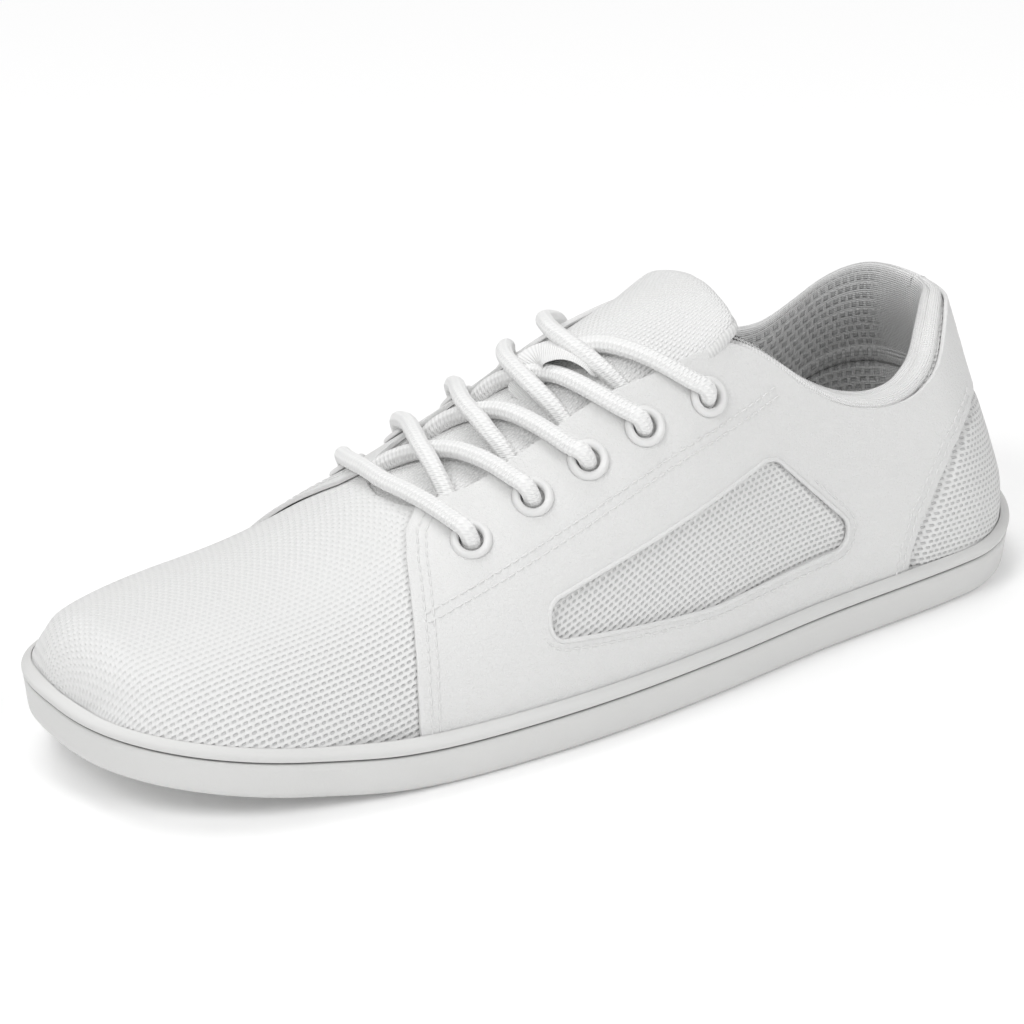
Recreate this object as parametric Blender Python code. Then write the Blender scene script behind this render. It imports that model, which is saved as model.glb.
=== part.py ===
"""A low barefoot shoe for the left foot, standing empty on its sole.

The heel is at +X, the toe at -X, the outer (lateral) side at -Y, and the floor at z = 0.
Every piece is worked out from one surface, that of the last: the form a shoemaker builds on.
"""

from collections import namedtuple
from math import atan2, cos, pi, radians, sin, tan

import bmesh
import bpy
from mathutils import Matrix, Vector

# The last, and how far it moves across so that the sole's outline has its middle at y = 0
LAST_LENGTH = 0.282
LAST_SHIFT = -0.00185
BALL_WIDTH = 0.098
HEEL_WIDTH = 0.073
INSTEP_HEIGHT = 0.0895
TOE_HEIGHT = 0.0335
TOE_SPRING = 0.011
HEEL_SPRING = 0.003
HEEL_LEAN = radians(16.0)
HEEL_CUP = 0.014

# How long the round ends are, as shares of the length, and how square they are
HEEL_ROUND = 0.11
HEEL_POWER = 2.1
TOE_ROUND = 0.20
TOE_POWER = 2.8
NOSE_ROUND = 0.05
NOSE_POWER = 2.6
SPRING_START = 0.67
HEEL_SPRING_END = 0.12
LEAN_END = 0.35

# The upper, its collar and its throat
KNIT_WALL = 0.0018
LEATHER = 0.0012
GAP = 0.0003
HEEL_HEIGHT = 0.073
COLLAR_BLEND = 0.012
THROAT_FRONT = 0.668
THROAT_GAP = 0.034
THROAT_ROUND = 0.022
COVER_START = 0.745
COVER_END = 0.84

# The sole and the insole
FLOOR = 0.006
RIM_HEIGHT = 0.0143
RIM_FLARE = 0.0043
SIDE_FLARE = 0.0028
EDGE_FLARE = 0.0020
EDGE_ROUND = 0.0018
GROOVE_HEIGHT = 0.0106
GROOVE_WIDTH = 0.0008
GROOVE_DEPTH = 0.0011
CUP_GAP = 0.0006
LUG_DEPTH = 0.0012
LUG_GROOVE = 0.0030
LUG_PITCH = 0.018
LUG_MARGIN = 0.009
INSOLE = 0.004
INSOLE_GAP = 0.0010

# The soft pieces, the eyelets and the laces
COLLAR_PAD = 0.0060
COLLAR_PAD_DEPTH = 0.026
COLLAR_PAD_FRONT = 0.335
TONGUE_PAD = 0.005
TONGUE_FRONT = 0.715
TONGUE_TOP = 0.322
TONGUE_SPAN = 0.39
TONGUE_ROUND = 0.030
TONGUE_DROP = 0.004
TONGUE_FALL = 0.12
EYELET_WIDTH = 0.0106
EYELET_BORE = 0.0054
EYELET_FLANGE = 0.0010
EYELET_SLEEVE = 0.0006
LACE_WIDTH = 0.0046

# at: along the last from the heel. centre: where the middle lies, as a share of the ball width.
# heel and ball: the width, as shares of those widths. instep and toe: the ridge's height over
# the feather, as shares of those heights. lean: the ridge's sideways shift, as a share of the
# ball width. rise, crown and bulge: how full the section is low down, on top and at the side.
Section = namedtuple("Section", "at centre heel ball instep toe lean rise crown bulge")
SECTIONS = (
    Section(0.00, 0.000, 0.89, 0.00, 1.08, 0.00, -0.030, 0.42, 0.34, 0.06),
    Section(0.12, -0.010, 1.00, 0.00, 1.10, 0.00, -0.030, 0.40, 0.44, 0.03),
    Section(0.30, -0.036, 0.50, 0.40, 1.10, 0.00, -0.005, 0.43, 0.48, 0.02),
    Section(0.42, -0.046, 0.20, 0.69, 1.00, 0.00, 0.015, 0.48, 0.53, 0.02),
    Section(0.55, -0.026, 0.00, 0.93, 0.76, 0.00, 0.036, 0.53, 0.50, 0.03),
    Section(0.65, 0.005, 0.00, 0.98, 0.46, 0.36, 0.036, 0.55, 0.50, 0.04),
    Section(0.75, 0.036, 0.00, 0.985, 0.15, 0.81, 0.026, 0.60, 0.53, 0.04),
    Section(0.87, 0.046, 0.00, 0.89, 0.00, 1.00, 0.010, 0.66, 0.60, 0.03),
    Section(1.00, 0.060, 0.00, 0.73, 0.00, 0.78, 0.000, 0.70, 0.64, 0.02),
)

# The collar's edge: along the last, and how high over the floor on each side, as shares of the
# heel's height
Collar = namedtuple("Collar", "at lateral medial")
COLLAR = (
    Collar(-0.20, 0.985, 0.985),
    Collar(0.020, 0.985, 0.985),
    Collar(0.060, 1.030, 1.030),
    Collar(0.082, 1.035, 1.045),
    Collar(0.098, 0.990, 1.030),
    Collar(0.120, 0.895, 0.985),
    Collar(0.145, 0.835, 0.915),
    Collar(0.180, 0.812, 0.840),
    Collar(0.215, 0.833, 0.840),
    Collar(0.250, 0.887, 0.890),
    Collar(0.280, 0.963, 0.965),
    Collar(0.305, 1.050, 1.050),
    Collar(0.330, 1.131, 1.131),
    Collar(0.355, 1.180, 1.180),
    Collar(0.380, 1.196, 1.196),
    Collar(0.412, 1.190, 1.190),
)

# The leather's front edge and its seam round the heel, in the same way
Edge = namedtuple("Edge", "at high")
VAMP_EDGE = (
    Edge(0.640, 1.080),
    Edge(0.648, 0.785),
    Edge(0.662, 0.763),
    Edge(0.677, 0.723),
    Edge(0.691, 0.661),
    Edge(0.707, 0.561),
    Edge(0.720, 0.458),
    Edge(0.731, 0.344),
    Edge(0.737, 0.239),
    Edge(0.740, 0.000),
)
COUNTER_EDGE = (
    Edge(0.187, 0.000),
    Edge(0.184, 0.155),
    Edge(0.177, 0.260),
    Edge(0.163, 0.377),
    Edge(0.140, 0.492),
    Edge(0.118, 0.590),
    Edge(0.098, 0.649),
    Edge(0.075, 0.693),
    Edge(-0.100, 0.725),
)

# The throat's half gap along the last, as a share of the whole gap at its front
Half = namedtuple("Half", "at half")
THROAT = (
    Half(0.30, 0.56),
    Half(0.39, 0.57),
    Half(0.43, 0.57),
    Half(0.49, 0.51),
    Half(0.56, 0.50),
    Half(0.67, 0.49),
)

# The window's corners: along the last, how high as above, and the corner's radius
Corner = namedtuple("Corner", "at high radius")
WINDOW = (
    Corner(0.605, 0.395, 0.0034),
    Corner(0.597, 0.514, 0.0050),
    Corner(0.332, 0.780, 0.0060),
    Corner(0.231, 0.390, 0.0050),
    Corner(0.420, 0.348, 0.0600),
)

# The eyelets: along the last on each side, and how far up the section
Eyelet = namedtuple("Eyelet", "lateral medial up")
EYELETS = (
    Eyelet(0.632, 0.640, 0.617),
    Eyelet(0.568, 0.586, 0.618),
    Eyelet(0.511, 0.529, 0.610),
    Eyelet(0.454, 0.472, 0.592),
    Eyelet(0.386, 0.412, 0.571),
)

# The collar pad's profile: how deep under the edge, as a share of the pad's depth, and how far
# in from the upper's wall, as a share of the pad's thickness
Roll = namedtuple("Roll", "deep into")
COLLAR_ROLL = (
    Roll(0.96, 0.00),
    Roll(0.50, 0.00),
    Roll(0.04, 0.00),
    Roll(-0.04, 0.22),
    Roll(-0.03, 0.55),
    Roll(0.08, 0.85),
    Roll(0.30, 1.00),
    Roll(0.60, 0.80),
    Roll(1.00, 0.25),
)

STATIONS = 27
RISES = 7
LATERAL = -1
MEDIAL = 1
SIDES = ((LATERAL, "lateral"), (MEDIAL, "medial"))
BEYOND = 0.2

WHITE_KNIT = (0.80, 0.80, 0.80)
WHITE_LEATHER = (0.83, 0.83, 0.83)
WHITE_LINING = (0.72, 0.72, 0.72)
WHITE_RUBBER = (0.78, 0.78, 0.78)
WHITE_LACE = (0.82, 0.82, 0.82)
WHITE_RING = (0.80, 0.80, 0.80)


def between(rows, at, column):
    """The value of a table's column at a place along the last, on a smooth line."""
    x = [row.at for row in rows]
    y = [getattr(row, column) for row in rows]
    at = min(max(at, x[0]), x[-1])
    last = len(x) - 1
    k = max(i for i in range(last) if x[i] <= at)

    def slope(i):
        if i == 0:
            return (y[1] - y[0]) / (x[1] - x[0])
        if i == last:
            return (y[last] - y[last - 1]) / (x[last] - x[last - 1])
        before = x[i] - x[i - 1]
        after = x[i + 1] - x[i]
        rise = (y[i] - y[i - 1]) / before * after + (y[i + 1] - y[i]) / after * before
        return rise / (before + after)

    span = x[k + 1] - x[k]
    t = (at - x[k]) / span
    start = y[k] * (1 + 2 * t) * (1 - t) ** 2 + slope(k) * span * t * (1 - t) ** 2
    end = y[k + 1] * t * t * (3 - 2 * t) + slope(k + 1) * span * t * t * (t - 1)
    return start + end


def cap(distance, length, power):
    """From 0 at a round end to 1 where the round is over."""
    left = max(0.0, 1 - distance / length)
    return (1 - left**power) ** (1 / power)


def spring(s):
    """How far the sole lifts off the floor."""
    toe = max(0.0, (s - SPRING_START) / (1 - SPRING_START))
    heel = max(0.0, (HEEL_SPRING_END - s) / HEEL_SPRING_END)
    return TOE_SPRING * toe**2 + HEEL_SPRING * heel**2


def cover(s):
    """The leather's thickness with its gap, fading out where the knit toe begins."""
    t = min(max((COVER_END - s) / (COVER_END - COVER_START), 0.0), 1.0)
    return (LEATHER + GAP) * t * t * (3 - 2 * t)


def last_point(s, f, side, offset=0.0):
    """A point on the last: s from heel to toe, f from the feather up to the ridge."""
    low = 3 * (1 - f) ** 2 * f
    high = 3 * (1 - f) * f * f
    across = (1 - f) ** 3 + low * (1 + between(SECTIONS, s, "bulge"))
    across += high * between(SECTIONS, s, "crown")
    up = low * between(SECTIONS, s, "rise") + high + f**3
    heel = between(SECTIONS, s, "heel") * HEEL_WIDTH
    ball = between(SECTIONS, s, "ball") * BALL_WIDTH
    half = (heel + ball) / 2 + offset
    half *= cap(s, HEEL_ROUND, HEEL_POWER) * cap(1 - s, TOE_ROUND, TOE_POWER)
    instep = between(SECTIONS, s, "instep") * INSTEP_HEIGHT
    toe = between(SECTIONS, s, "toe") * TOE_HEIGHT
    z = (instep + toe + offset) * cap(1 - s, NOSE_ROUND, NOSE_POWER) * up
    x = (LAST_LENGTH + 2 * offset) * (0.5 - s)
    x -= z * z / (z + HEEL_CUP) * tan(HEEL_LEAN) * max(0.0, 1 - s / LEAN_END) ** 2
    y = (between(SECTIONS, s, "centre") + between(SECTIONS, s, "lean") * up) * BALL_WIDTH
    y += LAST_SHIFT + side * half * across
    return Vector((x - (LEATHER + GAP) / 2, y, FLOOR + spring(s) + z))


def outward(s, f, side):
    """The direction straight out of the last at a point."""
    step = 0.004
    along = last_point(s - step, f, side) - last_point(s + step, f, side)
    up = last_point(s, f + step, side) - last_point(s, f - step, side)
    return up.cross(along).normalized() * side


def sole_point(s, side, offset, height):
    """A point of the sole: the feather line pushed outward, at a height over the tread."""
    foot = last_point(s, 0.0, side, offset)
    return Vector((foot.x, foot.y, height + spring(s)))


def rise_to(s, side, z):
    """How far up the section the last reaches a height."""
    below, above = 0.0, 1.0
    for _ in range(30):
        middle = (below + above) / 2
        if last_point(s, middle, side).z < z:
            below = middle
        else:
            above = middle
    return below


def stations(count=STATIONS):
    """Places along the last, closer together at its ends."""
    return [0.5 - 0.5 * cos(pi * i / count) for i in range(count + 1)]


def collar_height(s, side):
    """How high the collar's edge lies over the floor."""
    return between(COLLAR, s, "lateral" if side == LATERAL else "medial") * HEEL_HEIGHT


def ridge(s):
    """The last's highest point at a place along it."""
    return last_point(s, 1.0, MEDIAL)


def side_view(rows):
    """An edge table as points in the side view."""
    return [(LAST_LENGTH * (0.5 - row.at), row.high * HEEL_HEIGHT) for row in rows]


def rounded(corners, steps=5):
    """A closed outline in the side view whose corners are arcs."""
    spots = [Vector((LAST_LENGTH * (0.5 - c.at), c.high * HEEL_HEIGHT)) for c in corners]
    outline = []
    for i, corner in enumerate(corners):
        here = spots[i]
        back = (spots[i - 1] - here).normalized()
        ahead = (spots[(i + 1) % len(spots)] - here).normalized()
        half = back.angle(ahead) / 2
        centre = here + (back + ahead).normalized() * corner.radius / sin(half)
        first = here + back * corner.radius / tan(half) - centre
        last = here + ahead * corner.radius / tan(half) - centre
        start = atan2(first.y, first.x)
        turn = (atan2(last.y, last.x) - start + pi) % (2 * pi) - pi
        for k in range(steps + 1):
            angle = start + turn * k / steps
            outline.append((centre.x + corner.radius * cos(angle), centre.y + corner.radius * sin(angle)))
    return outline


def mesh_of(name, faces):
    """A mesh from faces given as lists of points, welded where they meet."""
    bm = bmesh.new()
    known = {}
    for face in faces:
        corners = []
        for point in face:
            key = tuple(round(value * 1e7) for value in point)
            if key not in known:
                known[key] = bm.verts.new(point)
            if known[key] not in corners:
                corners.append(known[key])
        if len(corners) > 2:
            bm.faces.new(corners)
    bmesh.ops.triangulate(bm, faces=bm.faces)
    bmesh.ops.recalc_face_normals(bm, faces=bm.faces)
    mesh = bpy.data.meshes.new(name)
    bm.to_mesh(mesh)
    bm.free()
    return mesh


def loft(loops, closed=False, ends=False):
    """Faces between closed loops of equal length, with the first and last filled if asked."""
    faces = []
    count = len(loops[0])
    for k in range(len(loops) if closed else len(loops) - 1):
        here, there = loops[k], loops[(k + 1) % len(loops)]
        for i in range(count):
            j = (i + 1) % count
            faces.append([here[i], here[j], there[j], there[i]])
    if ends:
        faces += [list(loops[0]), list(loops[-1])]
    return faces


def prism(outline, start, end, axis):
    """Faces of a flat outline stretched along Y (a side view) or along Z (a plan)."""
    def place(point, depth):
        return Vector((point[0], depth, point[1])) if axis == "Y" else Vector((*point, depth))
    loops = [[place(point, depth) for point in outline] for depth in (start, end)]
    return loft(loops, ends=True)


def shell(name, outer, inner):
    """A hollow form of the last between two offsets, open underneath."""
    faces = []
    rises = [i / RISES for i in range(RISES + 1)]
    for s, t in zip(stations(), stations()[1:]):
        for side in (LATERAL, MEDIAL):
            for offset in (outer, inner):
                for f, g in zip(rises, rises[1:]):
                    low, high = last_point(s, f, side, offset), last_point(s, g, side, offset)
                    next_low = last_point(t, f, side, offset)
                    next_high = last_point(t, g, side, offset)
                    faces += [[low, high, next_low], [high, next_high, next_low]]
            faces.append([
                last_point(s, 0.0, side, outer),
                last_point(s, 0.0, side, inner),
                last_point(t, 0.0, side, inner),
                last_point(t, 0.0, side, outer),
            ])
    return mesh_of(name, faces)


def ring_solid(name, rows):
    """A slab in the last's plan: rings from under its middle, round its edge, to its top."""
    faces = []
    for s, t in zip(stations(), stations()[1:]):
        for side in (LATERAL, MEDIAL):
            for low, high in zip(rows, rows[1:]):
                faces.append([low(s, side), low(t, side), high(t, side), high(s, side)])
        for row in (rows[0], rows[-1]):
            faces.append([row(s, LATERAL), row(t, LATERAL), row(t, MEDIAL), row(s, MEDIAL)])
    return mesh_of(name, faces)


def rim(offset, height):
    """A ring of the sole, pushed out past the leather, at a height over the tread."""
    return lambda s, side: sole_point(s, side, offset + cover(s), height)


def hug(gap, height):
    """A ring of the sole that stays close to the upper's own surface at a height."""
    def place(s, side):
        f = rise_to(s, side, height + spring(s))
        near = last_point(s, f, side, gap + cover(s))
        return Vector((near.x, near.y, height + spring(s)))

    return place


def material(name, colour, roughness, metallic=0.0):
    """A Principled material."""
    made = bpy.data.materials.new(name)
    made.use_nodes = True
    shader = made.node_tree.nodes["Principled BSDF"]
    shader.inputs["Base Color"].default_value = (*colour, 1.0)
    shader.inputs["Roughness"].default_value = roughness
    shader.inputs["Metallic"].default_value = metallic
    return made


def piece(mesh, paint, place=None):
    """One named object of the shoe."""
    made = bpy.data.objects.new(mesh.name, mesh)
    mesh.materials.append(paint)
    bpy.data.collections["barefoot_shoe"].objects.link(made)
    if place:
        made.matrix_world = place
    return made


def cutter(mesh):
    """A form that only cuts others."""
    made = bpy.data.objects.new(mesh.name, mesh)
    bpy.data.collections["cutters"].objects.link(made)
    made.hide_render = True
    made.display_type = "WIRE"
    return made


def combine(target, tool, operation):
    """Cut, keep or join with an exact Boolean."""
    step = target.modifiers.new(operation.lower() + "_" + tool.name, "BOOLEAN")
    step.object = tool
    step.operation = operation
    step.solver = "EXACT"


def start_scene():
    """An empty scene with the shoe's collection and one for its cutters."""
    for old in list(bpy.data.objects):
        bpy.data.objects.remove(old, do_unlink=True)
    for name in ("barefoot_shoe", "cutters"):
        bpy.context.scene.collection.children.link(bpy.data.collections.new(name))


def make_collar_cutter():
    """Everything over the collar's edge, which may lie at two heights on the two sides."""
    steps = [COLLAR[0].at + (COLLAR[-1].at - COLLAR[0].at) * i / 42 for i in range(43)]
    top = INSTEP_HEIGHT + BEYOND
    loops = []
    planes = ((LATERAL, -BEYOND), (LATERAL, -COLLAR_BLEND), (MEDIAL, COLLAR_BLEND), (MEDIAL, BEYOND))
    for side, y in planes:
        edge = [Vector((LAST_LENGTH * (0.5 - s), y, collar_height(s, side))) for s in steps]
        loops.append(edge + [Vector((edge[-1].x, y, top)), Vector((edge[0].x, y, top))])
    return cutter(mesh_of("cut_collar", loft(loops, ends=True)))


def make_throat_cutter():
    """The throat's slot, seen from above."""
    places = [THROAT[0].at + (THROAT[-1].at - THROAT[0].at) * i / 12 for i in range(12)]
    places += [THROAT_FRONT - THROAT_ROUND / LAST_LENGTH * cos(pi / 2 * i / 6) for i in range(7)]
    places = sorted(place for place in places if place <= THROAT_FRONT)
    left, right = [], []
    for s in places:
        middle = ridge(s)
        half = between(THROAT, s, "half") * THROAT_GAP
        half *= cap(THROAT_FRONT - s, THROAT_ROUND / LAST_LENGTH, 2.2)
        left.append((middle.x, middle.y - half))
        right.append((middle.x, middle.y + half))
    outline = left + right[-2::-1]
    return cutter(mesh_of("cut_throat", prism(outline, FLOOR + TOE_HEIGHT, BEYOND, "Z")))


def eyelet_at(eyelet, side):
    """Where an eyelet lies along the last."""
    return eyelet.lateral if side == LATERAL else eyelet.medial


def eyelet_place(eyelet, side):
    """Where an eyelet sits: its Z axis points out of the shoe."""
    at = eyelet_at(eyelet, side)
    out = outward(at, eyelet.up, side)
    spot = last_point(at, eyelet.up, side)
    return Matrix.Translation(spot) @ out.to_track_quat("Z", "Y").to_matrix().to_4x4()


def make_bore_cutter():
    """The holes that the eyelets go through, as one form."""
    bm = bmesh.new()
    radius = EYELET_BORE / 2 + EYELET_SLEEVE + GAP
    for eyelet in EYELETS:
        for side, _ in SIDES:
            place = eyelet_place(eyelet, side)
            bmesh.ops.create_cone(
                bm,
                cap_ends=True,
                segments=12,
                radius1=radius,
                radius2=radius,
                depth=4 * (KNIT_WALL + LEATHER),
                matrix=place,
            )
    mesh = bpy.data.meshes.new("cut_bores")
    bm.to_mesh(mesh)
    bm.free()
    return cutter(mesh)


def make_vamp_cutter():
    """Everything in front of the leather's front edge."""
    edge = side_view(VAMP_EDGE)
    low = -FLOOR
    outline = [(-BEYOND, BEYOND), (-BEYOND, low), (edge[-1][0], low)]
    outline += edge[::-1] + [(edge[0][0], BEYOND)]
    return cutter(mesh_of("cut_vamp", prism(outline, -BEYOND, BEYOND, "Y")))


def make_counter_cutter():
    """Everything behind and under the leather's seam round the heel."""
    edge = side_view(COUNTER_EDGE)
    low = -FLOOR
    outline = [(edge[0][0], low)] + edge + [(edge[-1][0], low)]
    return cutter(mesh_of("cut_counter", prism(outline, -BEYOND, BEYOND, "Y")))


def make_side_cutter(side, name):
    """Everything past the middle of the shoe, so that one side is left."""
    outline = [(-BEYOND, -BEYOND), (BEYOND, -BEYOND), (BEYOND, BEYOND), (-BEYOND, BEYOND)]
    return cutter(mesh_of("cut_side_" + name, prism(outline, side * GAP / 2, -side * BEYOND, "Y")))


def make_window_cutter():
    """The window in the leather of both sides."""
    return cutter(mesh_of("cut_window", prism(rounded(WINDOW), -BEYOND, BEYOND, "Y")))


def make_upper(*openings):
    """The knit upper: one hollow wall over the last, open at collar, throat and underneath."""
    knit = material("white_knit", WHITE_KNIT, 0.9)
    upper = piece(shell("upper", 0.0, -KNIT_WALL), knit)
    for tool in openings:
        combine(upper, tool, "DIFFERENCE")


def make_quarters(*openings):
    """The leather on each side, cut from a form just over the upper."""
    leather = material("white_leather", WHITE_LEATHER, 0.45)
    shared = (make_vamp_cutter(), make_counter_cutter(), *openings, make_window_cutter())
    for side, name in SIDES:
        quarter = piece(shell("quarter_" + name, GAP + LEATHER, GAP), leather)
        for tool in (make_side_cutter(side, name), *shared):
            combine(quarter, tool, "DIFFERENCE")


def make_sole():
    """The moulded cup sole: tread, side, groove and rim, with a floor inside."""
    rubber = material("white_rubber", WHITE_RUBBER, 0.6)
    groove = GROOVE_HEIGHT + GROOVE_WIDTH / 2
    bead = RIM_HEIGHT - GROOVE_HEIGHT - GROOVE_WIDTH / 2
    rows = [
        rim(EDGE_FLARE - EDGE_ROUND, 0.0),
        rim(EDGE_FLARE, EDGE_ROUND),
        rim(SIDE_FLARE, GROOVE_HEIGHT - GROOVE_WIDTH / 2),
        rim(SIDE_FLARE - GROOVE_DEPTH, GROOVE_HEIGHT),
        rim(SIDE_FLARE, groove),
        rim(RIM_FLARE, groove + 0.30 * bead),
        rim(RIM_FLARE, groove + 0.65 * bead),
        rim(RIM_FLARE - 0.35 * bead, groove + 0.95 * bead),
        hug(CUP_GAP + 0.35 * bead, RIM_HEIGHT),
        hug(CUP_GAP, RIM_HEIGHT - 0.3 * bead),
        rim(CUP_GAP, FLOOR - GAP),
    ]
    sole = piece(ring_solid("sole", rows), rubber)
    combine(sole, make_lug_cutter(), "DIFFERENCE")


def make_lug_cutter():
    """The grooves between the tread's lugs, as one form."""
    faces = []
    count = int((1 - 2 * LUG_MARGIN / LAST_LENGTH) * LAST_LENGTH / LUG_PITCH)
    for k in range(1, count):
        s = 0.5 + (k - count / 2) * LUG_PITCH / LAST_LENGTH
        left = sole_point(s, LATERAL, -LUG_MARGIN, 0.0)
        right = sole_point(s, MEDIAL, -LUG_MARGIN, 0.0)
        loops = []
        for t in range(4):
            middle = left.lerp(right, t / 3)
            x = middle.x - LUG_GROOVE * sin(pi * t / 3)
            w = LUG_GROOVE / 2
            top = middle.z + LUG_DEPTH
            loops.append([
                Vector((x - w, middle.y, middle.z - LUG_PITCH)),
                Vector((x + w, middle.y, middle.z - LUG_PITCH)),
                Vector((x + w / 2, middle.y, top)),
                Vector((x - w / 2, middle.y, top)),
            ])
        faces += loft(loops, ends=True)
    return cutter(mesh_of("cut_lugs", faces))


def make_insole():
    """The foam insole, flat in the cup inside the upper's wall."""
    foam = material("white_foam", WHITE_LINING, 0.9)
    inset = -KNIT_WALL - INSOLE_GAP
    soft = INSOLE / 4

    def ring(offset, height):
        return lambda s, side: sole_point(s, side, offset, height)

    rows = [
        ring(inset - soft, FLOOR),
        ring(inset, FLOOR + soft),
        ring(inset, FLOOR + INSOLE - soft),
        ring(inset - soft, FLOOR + INSOLE),
    ]
    piece(ring_solid("insole", rows), foam)


def make_tongue():
    """The padded tongue under the throat, round at its top."""
    lining = material("white_lining", WHITE_LINING, 0.9)
    loops = []
    outer = -KNIT_WALL - GAP
    count = 14
    for i in range(count + 1):
        s = TONGUE_FRONT + (TONGUE_TOP - TONGUE_FRONT) * sin(pi / 2 * i / count)
        wide = TONGUE_SPAN * cap(s - TONGUE_TOP, TONGUE_ROUND, 3.0)
        pad = TONGUE_PAD / 2 * cap(s - TONGUE_TOP, 0.03, 2.0)
        over, under = [], []
        for k in range(-4, 5):
            f = 1 - wide * abs(k) / 4
            low = TONGUE_DROP * (1 - (1 - f) / TONGUE_SPAN)
            low *= max(0.0, 1 - (s - TONGUE_TOP) / TONGUE_FALL) ** 2
            side = LATERAL if k < 0 else MEDIAL
            thin = 0.4 if abs(k) == 4 else 1.0
            core = outer - TONGUE_PAD / 2 - low
            over.append(last_point(s, f, side, core + thin * pad))
            under.append(last_point(s, f, side, core - thin * pad))
        loops.append(over + under[::-1])
    piece(mesh_of("tongue", loft(loops, ends=True)), lining)


def make_collar_pad():
    """The padded lining round the collar's inside."""
    lining = bpy.data.materials["white_lining"]
    loops = []
    count = 13
    places = [(COLLAR_PAD_FRONT * (1 - i / count), LATERAL) for i in range(count)]
    places += [(0.0, MEDIAL)]
    places += [(COLLAR_PAD_FRONT * i / count, MEDIAL) for i in range(1, count + 1)]
    for s, side in places:
        loop = []
        thick = COLLAR_PAD * (0.55 + 0.45 * cap(COLLAR_PAD_FRONT - s, 0.15, 2.0))
        for roll in COLLAR_ROLL:
            z = collar_height(s, side) - roll.deep * COLLAR_PAD_DEPTH
            f = rise_to(s, side, z)
            loop.append(last_point(s, f, side, -KNIT_WALL - 2 * GAP - roll.into * thick))
        loops.append(loop)
    piece(mesh_of("collar_pad", loft(loops, ends=True)), lining)


def make_eyelets():
    """Ten turned rings, each with a flange on the leather and a sleeve through the wall."""
    paint = material("white_ring", WHITE_RING, 0.35)
    bore = EYELET_BORE / 2
    sleeve = bore + EYELET_SLEEVE
    wide = EYELET_WIDTH / 2
    seat = 2 * GAP + LEATHER
    profile = (
        (bore, -KNIT_WALL / 2),
        (sleeve, -KNIT_WALL / 2),
        (sleeve, seat),
        (wide, seat),
        (wide - 0.6 * EYELET_FLANGE, seat + EYELET_FLANGE),
        (bore, seat + EYELET_FLANGE),
    )
    steps = 10
    loops = []
    for k in range(steps):
        angle = 2 * pi * k / steps
        loops.append([Vector((r * cos(angle), r * sin(angle), z)) for r, z in profile])
    for side, name in SIDES:
        for number, eyelet in enumerate(EYELETS, start=1):
            mesh = mesh_of("eyelet_%s_%d" % (name, number), loft(loops, closed=True))
            piece(mesh, paint, eyelet_place(eyelet, side))


def cord(name, points):
    """A lace through points, as a closed mesh."""
    curve = bpy.data.curves.new(name, "CURVE")
    curve.dimensions = "3D"
    curve.bevel_depth = LACE_WIDTH / 2
    curve.bevel_resolution = 1
    curve.resolution_u = 2
    curve.use_fill_caps = True
    line = curve.splines.new("NURBS")
    line.points.add(len(points) - 1)
    for spot, point in zip(line.points, points):
        spot.co = (*point, 1.0)
    line.use_endpoint_u = True
    line.order_u = 3
    shape = bpy.data.objects.new(name + "_curve", curve)
    mesh = bpy.data.meshes.new_from_object(shape)
    mesh.name = name
    bpy.data.objects.remove(shape)
    bm = bmesh.new()
    bm.from_mesh(mesh)
    bmesh.ops.remove_doubles(bm, verts=bm.verts, dist=1e-6)
    bmesh.ops.recalc_face_normals(bm, faces=bm.faces)
    bm.to_mesh(mesh)
    bm.free()
    return mesh


def make_laces():
    """The bar at the throat's front and the crossings behind it."""
    paint = material("white_lace", WHITE_LACE, 0.85)
    rest = GAP + LACE_WIDTH / 2
    on_leather = 2 * GAP + LEATHER + rest
    on_ring = on_leather + EYELET_FLANGE
    on_tongue = rest + GAP - KNIT_WALL

    def over(eyelet, side):
        at, up = eyelet_at(eyelet, side), eyelet.up
        return [
            last_point(at, up, side) + outward(at, up, side) * on_ring,
            last_point(at, up + 0.05, side) + outward(at, up + 0.05, side) * (on_ring + 0.0004),
            last_point(at, up + 0.14, side) + outward(at, up + 0.14, side) * on_leather,
        ]

    first = EYELETS[0]
    front = (first.lateral + first.medial) / 2 + 0.020
    bar = over(first, LATERAL)
    bar += [last_point(first.lateral + 0.018, 0.88, LATERAL, rest + 0.0010)]
    bar += [last_point(front, 1.0, LATERAL, rest + 0.0004)]
    bar += [last_point(first.medial + 0.014, 0.88, MEDIAL, rest + 0.0010)]
    bar += reversed(over(first, MEDIAL))
    piece(cord("lace_bar", bar), paint)
    for number, (before, here) in enumerate(zip(EYELETS, EYELETS[1:]), start=2):
        middle = (before.lateral + before.medial + here.lateral + here.medial) / 4
        strands = []
        for side in (LATERAL, MEDIAL):
            low = eyelet_at(before, side) - 0.006
            route = [
                last_point(low, 0.84, side, on_tongue),
                last_point((3 * low + middle) / 4, 0.91, side, on_tongue),
                last_point(middle, 1.0, side, on_tongue),
                last_point((middle + eyelet_at(here, -side)) / 2, 0.90, -side, on_tongue + 0.0010),
            ]
            route += reversed(over(here, -side))
            strands.append(cord("lace_cross_%d" % number, route))
        crossing = piece(strands[0], paint)
        strands[1].name = "join_cross_%d" % number
        combine(crossing, cutter(strands[1]), "UNION")


def main():
    start_scene()
    collar = make_collar_cutter()
    throat = make_throat_cutter()
    bores = make_bore_cutter()
    make_sole()
    make_upper(collar, throat, bores)
    make_tongue()
    make_insole()
    make_quarters(collar, throat, bores)
    make_collar_pad()
    make_eyelets()
    make_laces()


main()
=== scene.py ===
from collections import namedtuple
from math import atan2, cos, pi, radians, sin, tan

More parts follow.
